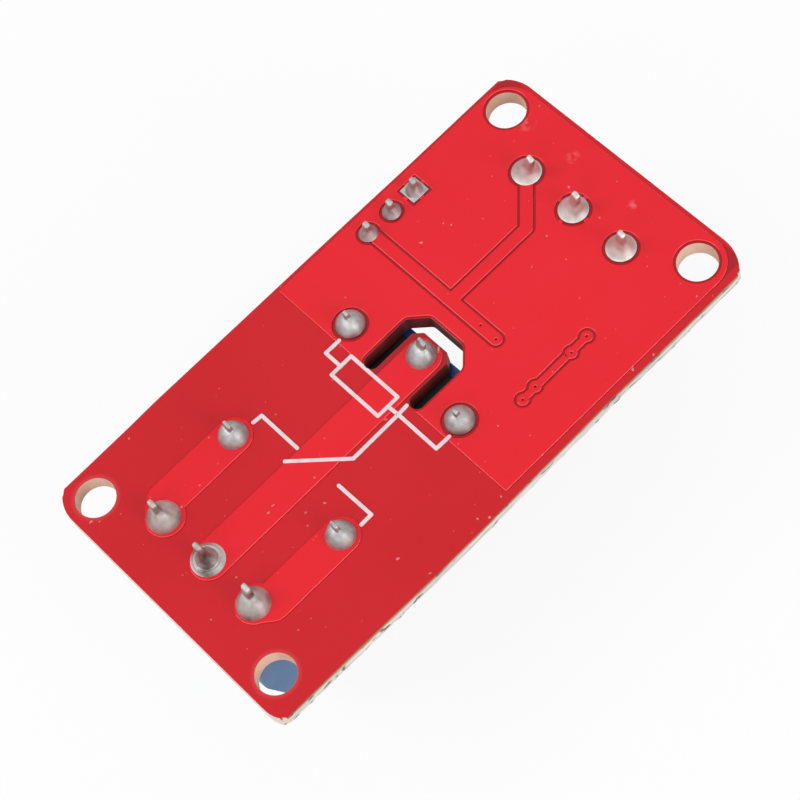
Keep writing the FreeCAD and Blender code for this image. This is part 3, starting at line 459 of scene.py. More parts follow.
# dark, middle and light tone, size of the clouds and their detail
solders = {
    "solder": ((0.31, 0.30, 0.30), (0.41, 0.41, 0.41), (0.52, 0.52, 0.52), 1300),
    "palerSolder": ((0.48, 0.47, 0.44), (0.58, 0.57, 0.54), (0.68, 0.67, 0.64), 900),
    "stainedSolder": ((0.13, 0.11, 0.11), (0.42, 0.40, 0.38), (0.64, 0.62, 0.59), 470, 3),
}
# dark and light tone, roughness, share of light that enters and depth of the grain
plastics = {
    "relayBlue": ((0.004, 0.055, 0.26), (0.006, 0.075, 0.32), 0.22, 0.15),
    "blackPlastic": ((0.010, 0.010, 0.011), (0.020, 0.020, 0.022), 0.42),
    "bobbinPlastic": ((0.62, 0.60, 0.54), (0.72, 0.70, 0.64), 0.4),
    "blockBlue": ((0.020, 0.092, 0.225), (0.028, 0.118, 0.28), 0.34, 0.0, 0.4),
    "chipCeramic": ((0.012, 0.012, 0.013), (0.030, 0.030, 0.032), 0.3),
    "lampBody": ((0.72, 0.70, 0.62), (0.84, 0.82, 0.76), 0.3, 0.3),
}
# dark and light tone, roughness, size of the grain and its stretch
metals = {
    "magnetIron": ((0.42, 0.41, 0.40), (0.55, 0.54, 0.52), 0.38),
    "windingWire": ((0.45, 0.15, 0.06), (0.62, 0.25, 0.10), 0.3, 3000, (1, 1, 9)),
    "contactBrass": ((0.62, 0.42, 0.18), (0.75, 0.55, 0.26), 0.3),
    "terminalSteel": ((0.50, 0.49, 0.46), (0.66, 0.65, 0.62), 0.34),
    "tinnedMetal": ((0.60, 0.60, 0.58), (0.76, 0.76, 0.74), 0.28),
    "goldPins": ((0.78, 0.52, 0.16), (0.90, 0.66, 0.25), 0.24),
}


def makeFinishes():
    made = {
        "board": maskFinish("maskOverLaminate", (0.61, 0.004, 0.011), (0.67, 0.006, 0.015), laminateShadeAndHalo),
        "copperMask": maskFinish("maskOverCopper", (0.82, 0.007, 0.019), (0.86, 0.009, 0.022), smudgeMarks),
        # painted highlight: pale mask on the copper edges that face the lamps
        "thinMaskHighlight": maskFinish("maskOverEdges", (0.86, 0.06, 0.062), (0.90, 0.085, 0.085)),
        "boardSide": sideFinish(),
        "holeWall": wallFinish("drilledWall", (0.64, 0.36, 0.24), (0.84, 0.58, 0.45)),
        "routedSide": wallFinish("routedSide", (0.74, 0.58, 0.47), (0.88, 0.78, 0.70)),
        # the slot's walls are darkened as painted shade
        "shadedSlotWall": wallFinish("routedWall", (0.12, 0.014, 0.014), (0.25, 0.035, 0.030)),
        "ink": inkFinish(),
    }
    for makeFinish, table in ((solderFinish, solders), (plasticFinish, plastics), (metalFinish, metals)):
        for name, values in table.items():
            made[name] = makeFinish(name, *values)
    return made


# The record's slot names, and the finish that each piece with that slot takes.
slotFinish = {
    "laminate": "board", "masked_copper": "copperMask", "print_ink": "ink", "solder": "solder",
    "tinned_metal": "tinnedMetal", "relay_blue": "relayBlue", "black_plastic": "blackPlastic",
    "bobbin_plastic": "bobbinPlastic", "magnet_iron": "magnetIron", "winding_wire": "windingWire",
    "contact_brass": "contactBrass", "block_blue": "blockBlue", "terminal_steel": "terminalSteel",
    "gold_pins": "goldPins", "chip_ceramic": "chipCeramic", "lamp_body": "lampBody",
}


# Mesh helpers.

def settle(name, bm, body, slotName, stands=(), smooth=False, look=None):
    mesh = bpy.data.meshes.new(name)
    bm.to_mesh(mesh)
    bm.free()
    return dress(name, mesh, body, slotName, stands, smooth, look)


def dress(name, mesh, body, slotName, stands=(), smooth=False, look=None):
    piece = bpy.data.objects.new(name, mesh)
    bpy.context.scene.collection.objects.link(piece)
    mesh.materials.clear()
    mesh.materials.append(finishes[look or slotFinish[slotName]])
    if smooth:
        mesh.shade_smooth()
    if stands:
        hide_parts(*stands)
    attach(piece, body)
    return piece


# Rounded edges shade smoothly while large faces stay flat.
def smoothEdges(piece, angle):
    piece.data.shade_smooth()
    piece.data.set_sharp_from_angle(angle=math.radians(angle))
    weighted = piece.modifiers.new("weightedNormals", "WEIGHTED_NORMAL")
    weighted.keep_sharp = True
    weighted.weight = 90


def addUpright(bm, spot, radius, top, height, segments):
    bmesh.ops.create_cone(bm, cap_ends=True, segments=segments, radius1=radius * mm, radius2=top * mm,
                          depth=height * mm, matrix=Matrix.Translation(spot))


# A round-ended band along a path, or a single disc, as an upright solid.
def addBand(bm, path, width, low, high, segments):
    points = [at(x, y, (low + high) / 2) for x, y in path]
    tall = high - low
    for point in points:
        addUpright(bm, point, width / 2, width / 2, tall, segments)
    for start, finish in zip(points, points[1:]):
        run = finish - start
        turn = Matrix.Rotation(math.atan2(run.y, run.x), 4, "Z")
        size = Matrix.Diagonal((run.length, width * mm, tall * mm, 1))
        bmesh.ops.create_cube(bm, size=1, matrix=Matrix.Translation((start + finish) / 2) @ turn @ size)


def addPlate(bm, x, y, low, high):
    corner, opposite = at(x[0], y[0], low), at(x[1], y[1], high)
    size = Matrix.Diagonal((*(opposite - corner), 1))
    bmesh.ops.create_cube(bm, size=1, matrix=Matrix.Translation((corner + opposite) / 2) @ size)


def asObject(bm, name):
    mesh = bpy.data.meshes.new(name)
    bm.to_mesh(mesh)
    bm.free()
    item = bpy.data.objects.new(name, mesh)
    bpy.context.scene.collection.objects.link(item)
    return item


# Bands and discs, each a path and a width, as one solid to cut or join with.
def bandTool(name, bands, low, high, segments):
    bm = bmesh.new()
    for path, width in bands:
        addBand(bm, path, width, low, high, segments)
    return asObject(bm, name)


# Distances in mm under which points are one, and angles in degrees of flat and of sharp edges.
fine = {"merge": 0.002, "flat": 1, "sharp": 35}


# A solid joined with others, and then less the cutters, as a new mesh with softened edges.
def carve(solid, cutters, joins=(), soften=0.0, merge=fine["merge"]):
    for kind, tools in (("UNION", joins), ("DIFFERENCE", cutters)):
        for tool in tools:
            change = solid.modifiers.new(kind, "BOOLEAN")
            change.operation = kind
            change.solver = "EXACT"
            change.use_self = True
            change.object = tool
    bpy.context.view_layer.update()
    graph = bpy.context.evaluated_depsgraph_get()
    mesh = bpy.data.meshes.new_from_object(solid.evaluated_get(graph))
    for item in [solid, *joins, *cutters]:
        bpy.data.objects.remove(item)
    bm = bmesh.new()
    bm.from_mesh(mesh)
    tidyMesh(bm, merge)
    if soften:
        softenEdges(bm, soften, clamp=False)
    bm.to_mesh(mesh)
    bm.free()
    return mesh


def tidyMesh(bm, merge=fine["merge"]):
    bmesh.ops.remove_doubles(bm, verts=bm.verts, dist=merge * mm)
    bmesh.ops.dissolve_degenerate(bm, edges=bm.edges, dist=fine["merge"] * mm)
    bmesh.ops.dissolve_limit(bm, angle_limit=math.radians(fine["flat"]), verts=bm.verts, edges=bm.edges)


def roundEdges(bm, edges, radius, segments, clamp=False):
    bmesh.ops.bevel(bm, geom=edges, offset=radius * mm, offset_type="OFFSET", affect="EDGES",
                    segments=segments, profile=0.5, clamp_overlap=clamp, material=-1)


def softenEdges(bm, width, segments=2, clamp=True):
    least = math.radians(fine["sharp"])
    sharp = [edge for edge in bm.edges if edge.is_manifold and edge.calc_face_angle(0) > least]
    roundEdges(bm, sharp, width, segments, clamp)


def isUpright(edge, height):
    return abs(edge.verts[0].co.z - edge.verts[1].co.z) > height * mm / 2


def splitAt(bm, spot, normal, takeOff=False):
    everything = bm.verts[:] + bm.edges[:] + bm.faces[:]
    return bmesh.ops.bisect_plane(bm, geom=everything, dist=1e-7, plane_co=spot, plane_no=normal,
                                  clear_outer=takeOff)["geom_cut"]


# Takes off what lies beyond a plane and closes the cut.
def cutAway(bm, spot, normal):
    cut = splitAt(bm, spot, normal, takeOff=True)
    bmesh.ops.contextual_create(bm, geom=[item for item in cut if isinstance(item, bmesh.types.BMEdge)])


# The board.

board = {
    "x": (-24.45, 24.70),
    "y": (-13.45, 12.85),
    "thick": 1.6,
    # the corners are routed past the scored sides, so that the snapped sides meet them at an angle
    "corners": {(1, -1): 3.6, (1, 1): 3.2, (-1, 1): 3.2, (-1, -1): 2.4},
    "past": 0.6,
    "scoreIn": {1: 0.06, -1: 0.30},
    "scoreDeep": 0.5,
    # how far the snapped sides stand in from those edges along the board, as place and distance
    "bow": {-1: [(-24.4, 0.14), (-18, 0.10), (-14.9, 0.06), (-12.4, 0.02), (-8.7, -0.05), (-3.4, -0.03),
                 (0.1, 0.04), (4, 0.08), (9.5, 0.16), (15.7, 0.12), (24.7, 0.15)],
            1: [(-24.4, 0.12), (-20.7, 0.10), (-16.6, 0.07), (-13.5, 0.0), (-5, 0.04), (3.4, 0.06),
                (8.2, 0.09), (12.6, 0.13), (20.8, 0.12), (24.7, 0.14)]},
    "snapStep": 0.6,
    "snapEnds": (1.6, 1.5),
    "snapReach": 0.45,
    # their torn middle layer: half its length, how deep it starts, and how far it wanders out and up
    "torn": {"half": 22.5, "skin": 0.1, "out": 0.05, "up": 0.12},
    "hole": 3.2,
    "holes": [(-22.0, -10.25), (-22.0, 10.25), (22.0, -10.25), (22.0, 10.25)],
    "slotPath": [(-0.15, 2.5), (3.8, 2.5), (4.8, 1.5), (4.8, -1.5), (3.8, -2.5), (-0.15, -2.5)],
    "slotWidth": 1.2,
    "slotZone": (-1.5, 6, 3.5),
    "through": (-3, 2),
    "viaDeep": 0.08,
    "edge": 0.05,
}


def along(table, x):
    for (x0, y0), (x1, y1) in zip(table, table[1:]):
        if x <= x1:
            return y0 + (y1 - y0) * max(0.0, x - x0) / (x1 - x0)
    return table[-1][1]


# The long sides were snapped, so they wander a little and their middle layer is torn.
def roughenSides(bm):
    x = board["x"][0] + board["snapEnds"][0]
    while x < board["x"][1] - board["snapEnds"][1]:
        splitAt(bm, at(x, 0), (1, 0, 0))
        x += board["snapStep"]
    torn = board["torn"]
    bottom, top = at(0, 0, torn["skin"] - board["thick"]).z, at(0, 0, -torn["skin"]).z
    for side, edge in zip((-1, 1), board["y"]):
        for vert in bm.verts:
            if abs(vert.co.y - at(0, edge).y) > board["snapReach"] * mm:
                continue
            x = vert.co.x / mm - place["middleX"]
            vert.co.y -= side * along(board["bow"][side], x) * mm
            if bottom < vert.co.z < top and abs(x) < torn["half"]:
                level = vert.co.z / mm
                vert.co.y += noise.noise(Vector((x * 1.9, side * 5.0, level))) * torn["out"] * mm
                vert.co.z += noise.noise(Vector((x * 1.3, side * 9.0, level * 3))) * torn["up"] * mm


# What each side face of the board shows.
boardLooks = ["board", "boardSide", "holeWall", "shadedSlotWall", "routedSide"]


def boardLook(face):
    if abs(face.normal.z) > 0.8:
        return "board"
    centre = face.center

    def near(spots, width):
        return any((centre - at(*spot)).xy.length < (width / 2 + 0.1) * mm for spot in spots)

    if near(vias, copper["viaHole"]):
        return "board"
    west, east, half = board["slotZone"]
    if at(west, 0).x < centre.x < at(east, 0).x and abs(centre.y - at(0, 0).y) < half * mm:
        return "shadedSlotWall"
    if near(board["holes"], board["hole"]):
        return "holeWall"
    return "boardSide" if abs(face.normal.y) > 0.8 else "routedSide"


def makeBoard():
    bm = bmesh.new()
    past, thick = board["past"], board["thick"]
    addPlate(bm, board["x"], (board["y"][0] - past, board["y"][1] + past), -thick, 0)
    for (alongX, alongY), radius in board["corners"].items():
        corner = [edge for edge in bm.edges if isUpright(edge, thick)
                  and edge.verts[0].co.x * alongX > 0 and edge.verts[0].co.y * alongY > 0]
        roundEdges(bm, corner, radius, 14)
    for side, edge in zip((-1, 1), board["y"]):
        cutAway(bm, at(0, edge), (0, side, 0))
    # the long sides are scored from both faces
    for side, edge in zip((-1, 1), board["y"]):
        for face, level in ((1, 0.0), (-1, -thick)):
            wide = board["scoreIn"][face]
            cutAway(bm, at(0, edge - side * wide, level), (0, side * board["scoreDeep"], face * wide))
    roughenSides(bm)
    blank = asObject(bm, "blank")
    below, above = board["through"]
    cutters = [bandTool("holes", [([spot], board["hole"]) for spot in board["holes"]], below, above, 72),
               bandTool("slot", [(board["slotPath"], board["slotWidth"])], below, above, 48),
               bandTool("vias", [([spot], copper["viaHole"]) for spot in vias], -board["viaDeep"], 1, 20)]
    mesh = carve(blank, cutters, soften=board["edge"])
    dress("board", mesh, "module", "laminate", ["pcb"])
    for look in boardLooks[1:]:
        mesh.materials.append(finishes[look])
    for face in mesh.polygons:
        face.material_index = boardLooks.index(boardLook(face))


# Copper under the mask.

copper = {
    "thick": 0.10,
    "edge": 0.07,
    "merge": 0.02,
    "gap": 0.17,
    "pourX": (-0.83, 24.35),
    "pourY": (-12.65, 12.40),
    "pourCorner": 2.6,
    "tongueGap": [((-2, 4.8), (-1.5, 1.5)), ((-2, 3.8), (-2.5, 2.5))],
    "holeRing": 0.22,
    "spoke": 0.4,
    "spokeLap": (0.05, 0.03),
    "spokeEdge": 0.056,
    "through": (-0.5, 0.6),
    "segments": 48,
    "signalWidth": 1.04,
    "trunk": [(7.40, 10.65), (7.40, -3.35)],
    "branch": [(7.40, 1.62), (15.60, 1.60), (19.10, 5.08)],
    "trunkVias": [(7.45, -1.59), (7.40, -3.32)],
    "link": [(12.09, -8.33), (5.22, -8.38)],
    "linkVias": [(12.09, -8.31), (10.35, -8.39), (6.59, -8.33), (5.22, -8.38)],
    "linkWidth": 0.6,
    "viaLand": 1.0,
    "viaHole": 0.19,
    "powerWidth": 3.1,
    "landDisc": 3.25,
    "discShift": (0.08, -0.08),
    "common": [(2.70, -0.12), (-19.50, -0.12)],
    "closed": [(-11.45, 6.02), (-18.45, 6.02), (-19.02, 5.51)],
    "open": [(-11.45, -6.02), (-18.45, -6.02), (-18.93, -5.59)],
}
vias = copper["trunkVias"] + copper["linkVias"]
pads = {
    "coil": [(0.9, 6.02), (0.9, -6.02)],
    "common": [(2.70, 0.0)],
    "contact": [(-11.45, 6.02), (-11.45, -6.02)],
    "output": [(-19.5, 5.08), (-19.5, 0.0), (-19.5, -5.08)],
    "input": [(19.1, 5.08), (19.1, 0.0), (19.1, -5.08)],
    "header": [(7.24, 10.65), (9.78, 10.65), (12.24, 10.65)],
}
landRadius = {"coil": 1.27, "common": 1.27, "contact": 1.27, "output": 1.45, "input": 1.28, "header": 0.82}
# Copper edges facing this way, toward the lamps, take the pale mask as a painted highlight.
highlightSide = {"toward": (-0.6, -0.8), "least": 0.15, "leastUp": 0.12, "smooth": 50}


# The mask runs thin and pale over the rounded copper edges; only the edges that face the lamps take it, as a
# painted highlight.
def paleHighlightEdges(piece):
    piece.data.materials.append(finishes["thinMaskHighlight"])
    towardX, towardY = highlightSide["toward"]
    for face in piece.data.polygons:
        facing = face.normal.x * towardX + face.normal.y * towardY
        if face.normal.z > highlightSide["leastUp"] and facing > highlightSide["least"]:
            face.material_index = 1
    smoothEdges(piece, highlightSide["smooth"])


def gapTool(name, *bands):
    return bandTool(name, bands, *copper["through"], copper["segments"])


def makePour():
    gap, thick = copper["gap"], copper["thick"]
    bm = bmesh.new()
    addPlate(bm, copper["pourX"], copper["pourY"], 0, thick)
    middle = at(sum(copper["pourX"]) / 2, 0).x
    far = [edge for edge in bm.edges if isUpright(edge, thick) and edge.verts[0].co.x > middle]
    roundEdges(bm, far, copper["pourCorner"], 12)
    pour = asObject(bm, "pour")
    signal = copper["signalWidth"] + 2 * gap
    ring = board["hole"] + 2 * copper["holeRing"]
    cutters = [gapTool("holeGaps", *[([spot], ring) for spot in board["holes"][2:]])]
    for kind, spots in (("coil", pads["coil"]), ("input", pads["input"]), ("header", pads["header"][:2])):
        cutters.append(gapTool(kind, *[([spot], 2 * (landRadius[kind] + gap)) for spot in spots]))
    cutters += [
        gapTool("slotGap", (board["slotPath"], board["slotWidth"] + 2 * gap)),
        gapTool("trunkGap", (copper["trunk"], signal)),
        gapTool("branchGap", (copper["branch"], signal)),
        gapTool("linkGap", (copper["link"], copper["linkWidth"] + 2 * gap),
                *[([spot], copper["viaLand"] + 2 * gap) for spot in copper["linkVias"]]),
    ]
    squareX, squareY = pads["header"][2]
    half = landRadius["header"] + gap
    square = ((squareX - half, squareX + half), (squareY - half, squareY + half))
    for name, plates in (("tongueGap", copper["tongueGap"]), ("squareGap", [square])):
        tool = bmesh.new()
        for spanX, spanY in plates:
            addPlate(tool, spanX, spanY, *copper["through"])
        cutters.append(asObject(tool, name))
    mesh = carve(pour, cutters, soften=copper["edge"], merge=copper["merge"])
    paleHighlightEdges(dress("copperPour", mesh, "module", "masked_copper", ["copper_pour"]))


# Four spokes reach the middle input land and the square header land.
def makeSpokes():
    bm = bmesh.new()
    wide = copper["spoke"] / 2
    lapIn, lapOut = copper["spokeLap"]
    for kind, index in (("input", 1), ("header", 2)):
        x, y = pads[kind][index]
        near, away = landRadius[kind] - lapIn, landRadius[kind] + copper["gap"] + lapOut
        for dx, dy in ((1, 0), (0, 1), (-1, 0), (0, -1)):
            spanX = sorted((x + dx * near - abs(dy) * wide, x + dx * away + abs(dy) * wide))
            spanY = sorted((y + dy * near - abs(dx) * wide, y + dy * away + abs(dx) * wide))
            addPlate(bm, spanX, spanY, 0, copper["thick"])
    softenEdges(bm, copper["spokeEdge"])
    settle("spokes", bm, "module", "masked_copper")


# A via that the rounding of the copper's edges would close is cut after it, with a dimple round it.
dimple = {"low": 0.04, "high": 0.14, "wide": 0.40, "drill": (-0.3, 0.4), "segments": 20}


def viaDrill(spots):
    bands = [([spot], copper["viaHole"]) for spot in spots]
    return bandTool("vias", bands, *dimple["drill"], dimple["segments"])


def dimpleTool(spots):
    sink = bmesh.new()
    low, high = dimple["low"], dimple["high"]
    for x, y in spots:
        addUpright(sink, at(x, y, (low + high) / 2), copper["viaHole"] / 2, dimple["wide"] / 2, high - low,
                   dimple["segments"])
    return asObject(sink, "dimples")


def makeTrack(name, node, bands, drilled=(), hollows=(), late=()):
    solids = [bandTool(name, [band], 0, copper["thick"], copper["segments"]) for band in bands]
    cutters = [viaDrill([spot]) for spot in drilled] + [gapTool("hollow", band) for band in hollows]
    mesh = carve(solids[0], cutters, solids[1:], soften=copper["edge"], merge=copper["merge"])
    if late:
        bm = bmesh.new()
        bm.from_mesh(mesh)
        mesh = carve(asObject(bm, name), [dimpleTool(late), viaDrill(late)])
    paleHighlightEdges(dress(name, mesh, "module", "masked_copper", [node]))


def outputDisc(index):
    x, y = pads["output"][index]
    return [(x + copper["discShift"][0], y + copper["discShift"][1])], copper["landDisc"]


def makeTracks():
    signal, power = copper["signalWidth"], copper["powerWidth"]
    makeTrack("signalTrack", "signal_track", [(copper["trunk"], signal), (copper["branch"], signal)],
              copper["trunkVias"], late=copper["trunkVias"][:1])
    lands = [([spot], copper["viaLand"]) for spot in copper["linkVias"]]
    makeTrack("viaLink", "via_link", [(copper["link"], copper["linkWidth"]), *lands], copper["linkVias"])
    makeTrack("closedTrack", "closed_contact_track", [(copper["closed"], power), outputDisc(0)])
    makeTrack("openTrack", "open_contact_track", [(copper["open"], power), outputDisc(2)])
    makeTrack("commonTrack", "common_track", [(copper["common"], power), outputDisc(1)],
              hollows=[(board["slotPath"], board["slotWidth"] + 2 * copper["gap"])])


# White print of the relay's symbol.

ink = {
    "width": 0.3,
    "low": 0.0,
    "high": 0.13,
    "edge": 0.02,
    "lines": [
        [(-0.60, 5.67), (-2.02, 5.69), (-2.03, 3.99)],
        [(-2.98, -1.15), (-0.90, -1.15), (-0.90, 4.02), (-2.98, 4.02), (-2.98, -1.15)],
        [(-1.93, -1.14), (-1.86, -2.21), (-1.88, -6.35), (-0.55, -6.39)],
        [(-0.92, -2.16), (-1.86, -2.21), (-6.61, -2.25), (-10.25, 1.48)],
        [(-9.70, 5.66), (-8.87, 5.59), (-8.87, 1.57)],
        [(-8.84, -3.02), (-8.79, -6.52), (-9.84, -6.54)],
    ],
}


def makePrint():
    solids = [bandTool("line", [(line, ink["width"])], ink["low"], ink["high"], 16) for line in ink["lines"]]
    slot = gapTool("slotEdge", (board["slotPath"], board["slotWidth"] + 0.1))
    mesh = carve(solids[0], [slot], solids[1:], soften=ink["edge"])
    dress("symbolPrint", mesh, "module", "print_ink", ["relay_symbol_print"])


# A splinter of laminate stands at the tip of the tongue.
splinter = {"path": [(3.74, -0.80), (4.08, -0.50)], "width": 0.13, "high": 0.14}


def makeSplinter():
    bm = bmesh.new()
    addBand(bm, splinter["path"], splinter["width"], 0.0, splinter["high"], 10)
    settle("splinter", bm, "module", "laminate", look="holeWall")


# Tracks and outlines of the component side.
underside = {
    "thick": 0.06,
    "track": 0.5,
    "tracks": [
        [(0.9, -6.02), (0.9, -8.6), (2.9, -10.6)],
        [(5.22, -8.38), (5.9, -9.1), (5.9, -10.9)],
        [(6.59, -8.33), (7.3, -7.6), (7.3, -6.9)],
        [(10.35, -8.39), (10.35, -11.4)],
        [(12.09, -8.31), (14.6, -10.8)],
        [(15.2, -11.45), (17.0, -11.45), (19.1, -9.3), (19.1, -5.08)],
        [(7.45, -1.59), (8.9, -2.6)],
        [(7.40, -3.32), (6.6, -4.1), (6.6, -4.9)],
        [(11.3, 8.6), (11.3, 9.3), (12.24, 10.65), (14.4, 10.65), (19.1, 5.95), (19.1, 5.08)],
        [(8.9, 8.6), (8.9, 9.4), (9.78, 10.65)],
        [(11.3, -2.8), (11.3, -4.4), (13.6, -6.7), (17.5, -6.7), (19.1, -5.08)],
        [(8.0, -4.9), (8.6, -4.3), (11.3, -4.3)],
    ],
    "edge": 0.049,
    "line": 0.18,
    "lineThick": 0.03,
    "outlines": [
        [(4.45, 4.6), (4.45, 7.9), (-15.15, 7.9), (-15.15, -7.9), (4.45, -7.9), (4.45, -4.6)],
        [(-23.05, -7.9), (-14.95, -7.9)], [(-23.05, 7.9), (-14.95, 7.9)], [(-23.05, -7.9), (-23.05, 7.9)],
        [(14.55, -7.9), (22.65, -7.9), (22.65, 7.9), (14.55, 7.9), (14.55, -7.9)],
        [(5.7, 9.1), (13.85, 9.1), (13.85, 12.2), (5.7, 12.2), (5.7, 9.1)],
        [(7.5, -0.6), (12.7, -0.6)], [(7.5, 6.4), (9.6, 6.4)], [(10.6, 6.4), (12.7, 6.4)],
        [(-2.0, -9.05), (4.1, -9.05)], [(-2.0, -12.2), (4.1, -12.2)], [(-2.0, -12.2), (-2.0, -9.05)],
        [(4.95, -10.5), (6.85, -10.5)], [(13.65, -10.5), (15.55, -10.5)],
        [(7.3, -10.5), (9.6, -10.5)], [(10.4, -10.5), (12.7, -10.5)],
        [(5.5, -5.2), (5.5, -6.9)], [(9.1, -5.2), (9.1, -6.9)],
    ],
}


def makeUnderside():
    high = -board["thick"]
    low = high - underside["thick"]
    solids = [bandTool("track", [(line, underside["track"])], low, high, 24) for line in underside["tracks"]]
    solids += [bandTool("land", [([spot], copper["viaLand"])], low, high, 32) for spot in vias]
    drills = [bandTool("drill", [([spot], copper["viaHole"])], low - 0.5, high + 0.5, 20) for spot in vias]
    mesh = carve(solids[0], drills, solids[1:], soften=underside["edge"])
    dress("undersideTracks", mesh, "module", "masked_copper")
    bm = bmesh.new()
    for line in underside["outlines"]:
        addBand(bm, line, underside["line"], high - underside["lineThick"], high, 12)
    settle("undersidePrint", bm, "module", "print_ink")


# Solder joints.

# Each joint is a ring drawn up its pin: a round foot, a mound, a neck and a tinned pin end that leans.
joints = {
    "segments": 48,
    "moundRings": 16,
    "spread": 0.94,
    "pins": {"coil": (0.46, 0.46), "common": (0.42, 0.90), "contact": (0.40, 0.80),
             "output": (0.60, 0.84), "input": (0.62, 0.84), "header": (0.60, 0.60)},
    # mound height, tip height, how full the mound is (under 1 sags inward), tip's lean for each pin
    "coil": (1.10, 1.90, 1.5, [(0.02, 0.08), (-0.12, -0.04)]),
    "common": (1.20, 2.05, 1.5, [(0.42, -0.07)]),
    "contact": (1.15, 2.00, 1.5, [(0.0, 0.15), (-0.04, 0.24)]),
    "output": (1.50, 2.75, 1.25, [(-0.16, 0.20), (-0.12, 0.22), (0.21, 0.22)]),
    "input": (1.30, 2.60, 0.84, [(0.20, -0.71), (0.23, -0.48), (0.07, -0.33)]),
    "header": (0.85, 1.65, 0.95, [(0.03, -0.13), (0.03, -0.08), (0.08, -0.12)]),
    # share of the way from mound to tip, and how thick the pin end still is there
    "neck": [(0.25, 0.96), (0.55, 0.90), (0.8, 0.82), (0.94, 0.68), (1.0, 0.42)],
    "leanPower": 1.3,
    "wobble": 0.05,
    "lumps": (1.6, 1.4),
    "tipSlant": 0.10,
    "squareProud": 0.05,
    "squareEdge": 0.04,
}
crater = {"joint": ("output", 1), "at": 0.42, "wide": 0.05, "deep": 0.14, "fullness": 0.78}


# Share of the way in from foot to pin, height in mm and thickness of each ring.
def jointRings(kind, index):
    rise, tip, fullness, leans = joints[kind]
    cratered = crater["joint"] == (kind, index)
    if cratered:
        fullness = crater["fullness"]
    rings = []
    for step in range(1, joints["moundRings"] + 1):
        share = step / joints["moundRings"]
        lift = (1 - (1 - share) ** fullness) ** (1 / fullness)
        if cratered:
            lift -= crater["deep"] * math.exp(-((share - crater["at"]) / crater["wide"]) ** 2)
        rings.append((share, rise * lift, 1.0))
    return rings + [(1.0, rise + (tip - rise) * part, size) for part, size in joints["neck"]]


def addJoint(bm, kind, index):
    tip, lean = joints[kind][1], joints[kind][3][index]
    radius = landRadius[kind] * joints["spread"]
    halfX, halfY = (side / 2 for side in joints["pins"][kind])
    around, upward = joints["lumps"]
    seed = 7.3 * index + 3.1 * len(kind)
    base = at(*pads[kind][index], copper["thick"])
    made = bmesh.ops.create_circle(bm, segments=joints["segments"], radius=radius * mm,
                                   matrix=Matrix.Translation(base))
    edges = list({edge for vert in made["verts"] for edge in vert.link_edges})
    middle = base.copy()
    for share, height, size in jointRings(kind, index):
        grown = bmesh.ops.extrude_edge_only(bm, edges=edges)["geom"]
        newVerts = [item for item in grown if isinstance(item, bmesh.types.BMVert)]
        edges = [item for item in grown if isinstance(item, bmesh.types.BMEdge)]
        drift = (height / tip) ** joints["leanPower"]
        nextMiddle = base + Vector((lean[0] * drift * mm, lean[1] * drift * mm, 0))
        for vert in newVerts:
            angle = math.atan2(vert.co.y - middle.y, vert.co.x - middle.x)
            cosine, sine = math.cos(angle), math.sin(angle)
            pin = (abs(cosine / halfX) ** 4 + abs(sine / halfY) ** 4) ** -0.25
            reach = (radius + (pin - radius) * share) * size
            rough = noise.noise(Vector((cosine * around + seed, sine * around, height * upward)))
            reach += rough * joints["wobble"] * math.sin(share * math.pi * 0.9)
            slant = joints["tipSlant"] * sine if size < 0.7 and share == 1.0 else 0.0
            vert.co = nextMiddle + Vector((cosine * reach, sine * reach, height + slant)) * mm
        middle = nextMiddle
    bmesh.ops.holes_fill(bm, edges=edges, sides=0)


# The header's last land is square.
def addSquareLand(bm):
    x, y = pads["header"][2]
    half = landRadius["header"]
    square = bmesh.new()
    addPlate(square, (x - half, x + half), (y - half, y + half), 0, copper["thick"] + joints["squareProud"])
    softenEdges(square, joints["squareEdge"])
    joinInto(bm, square)


# piece: node, kinds of pin and look
jointGroups = {
    "relayJoints": ("relay_solder_joints", ("coil", "common", "contact"), "solder"),
    "outputJoints": ("output_solder_joints", ("output",), "stainedSolder"),
    "inputJoints": ("input_solder_joints", ("input",), "palerSolder"),
    "headerJoints": ("header_solder_joints", ("header",), "solder"),
}


def makeJoints():
    for name, (node, kinds, look) in jointGroups.items():
        bm = bmesh.new()
        for kind in kinds:
            for index in range(len(pads[kind])):
                addJoint(bm, kind, index)
        bmesh.ops.recalc_face_normals(bm, faces=bm.faces)
        if name == "headerJoints":
            addSquareLand(bm)
        settle(name, bm, "module", "solder", [node], smooth=True, look=look)


def joinInto(bm, other):
    mesh = bpy.data.meshes.new("part")
    other.to_mesh(mesh)
    other.free()
    bm.from_mesh(mesh)
    bpy.data.meshes.remove(mesh)


# Copies of the solids with softened edges.

def copyNode(name):
    bm = bmesh.new()
    bm.from_mesh(nodes[name].data)
    tidyMesh(bm)
    return bm


def settleCopy(name, bm, slotName, smoothAngle=28):
    mesh = bpy.data.meshes.new(name)
    bmesh.ops.triangulate(bm, faces=[face for face in bm.faces if len(face.verts) > 4])
    bm.to_mesh(mesh)
    bm.free()
    first, *others = name.split("_")
    pieceName = first + "".join(word.capitalize() for word in others)
    smoothEdges(dress(pieceName, mesh, nodes[name]["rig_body"], slotName, [name]), smoothAngle)


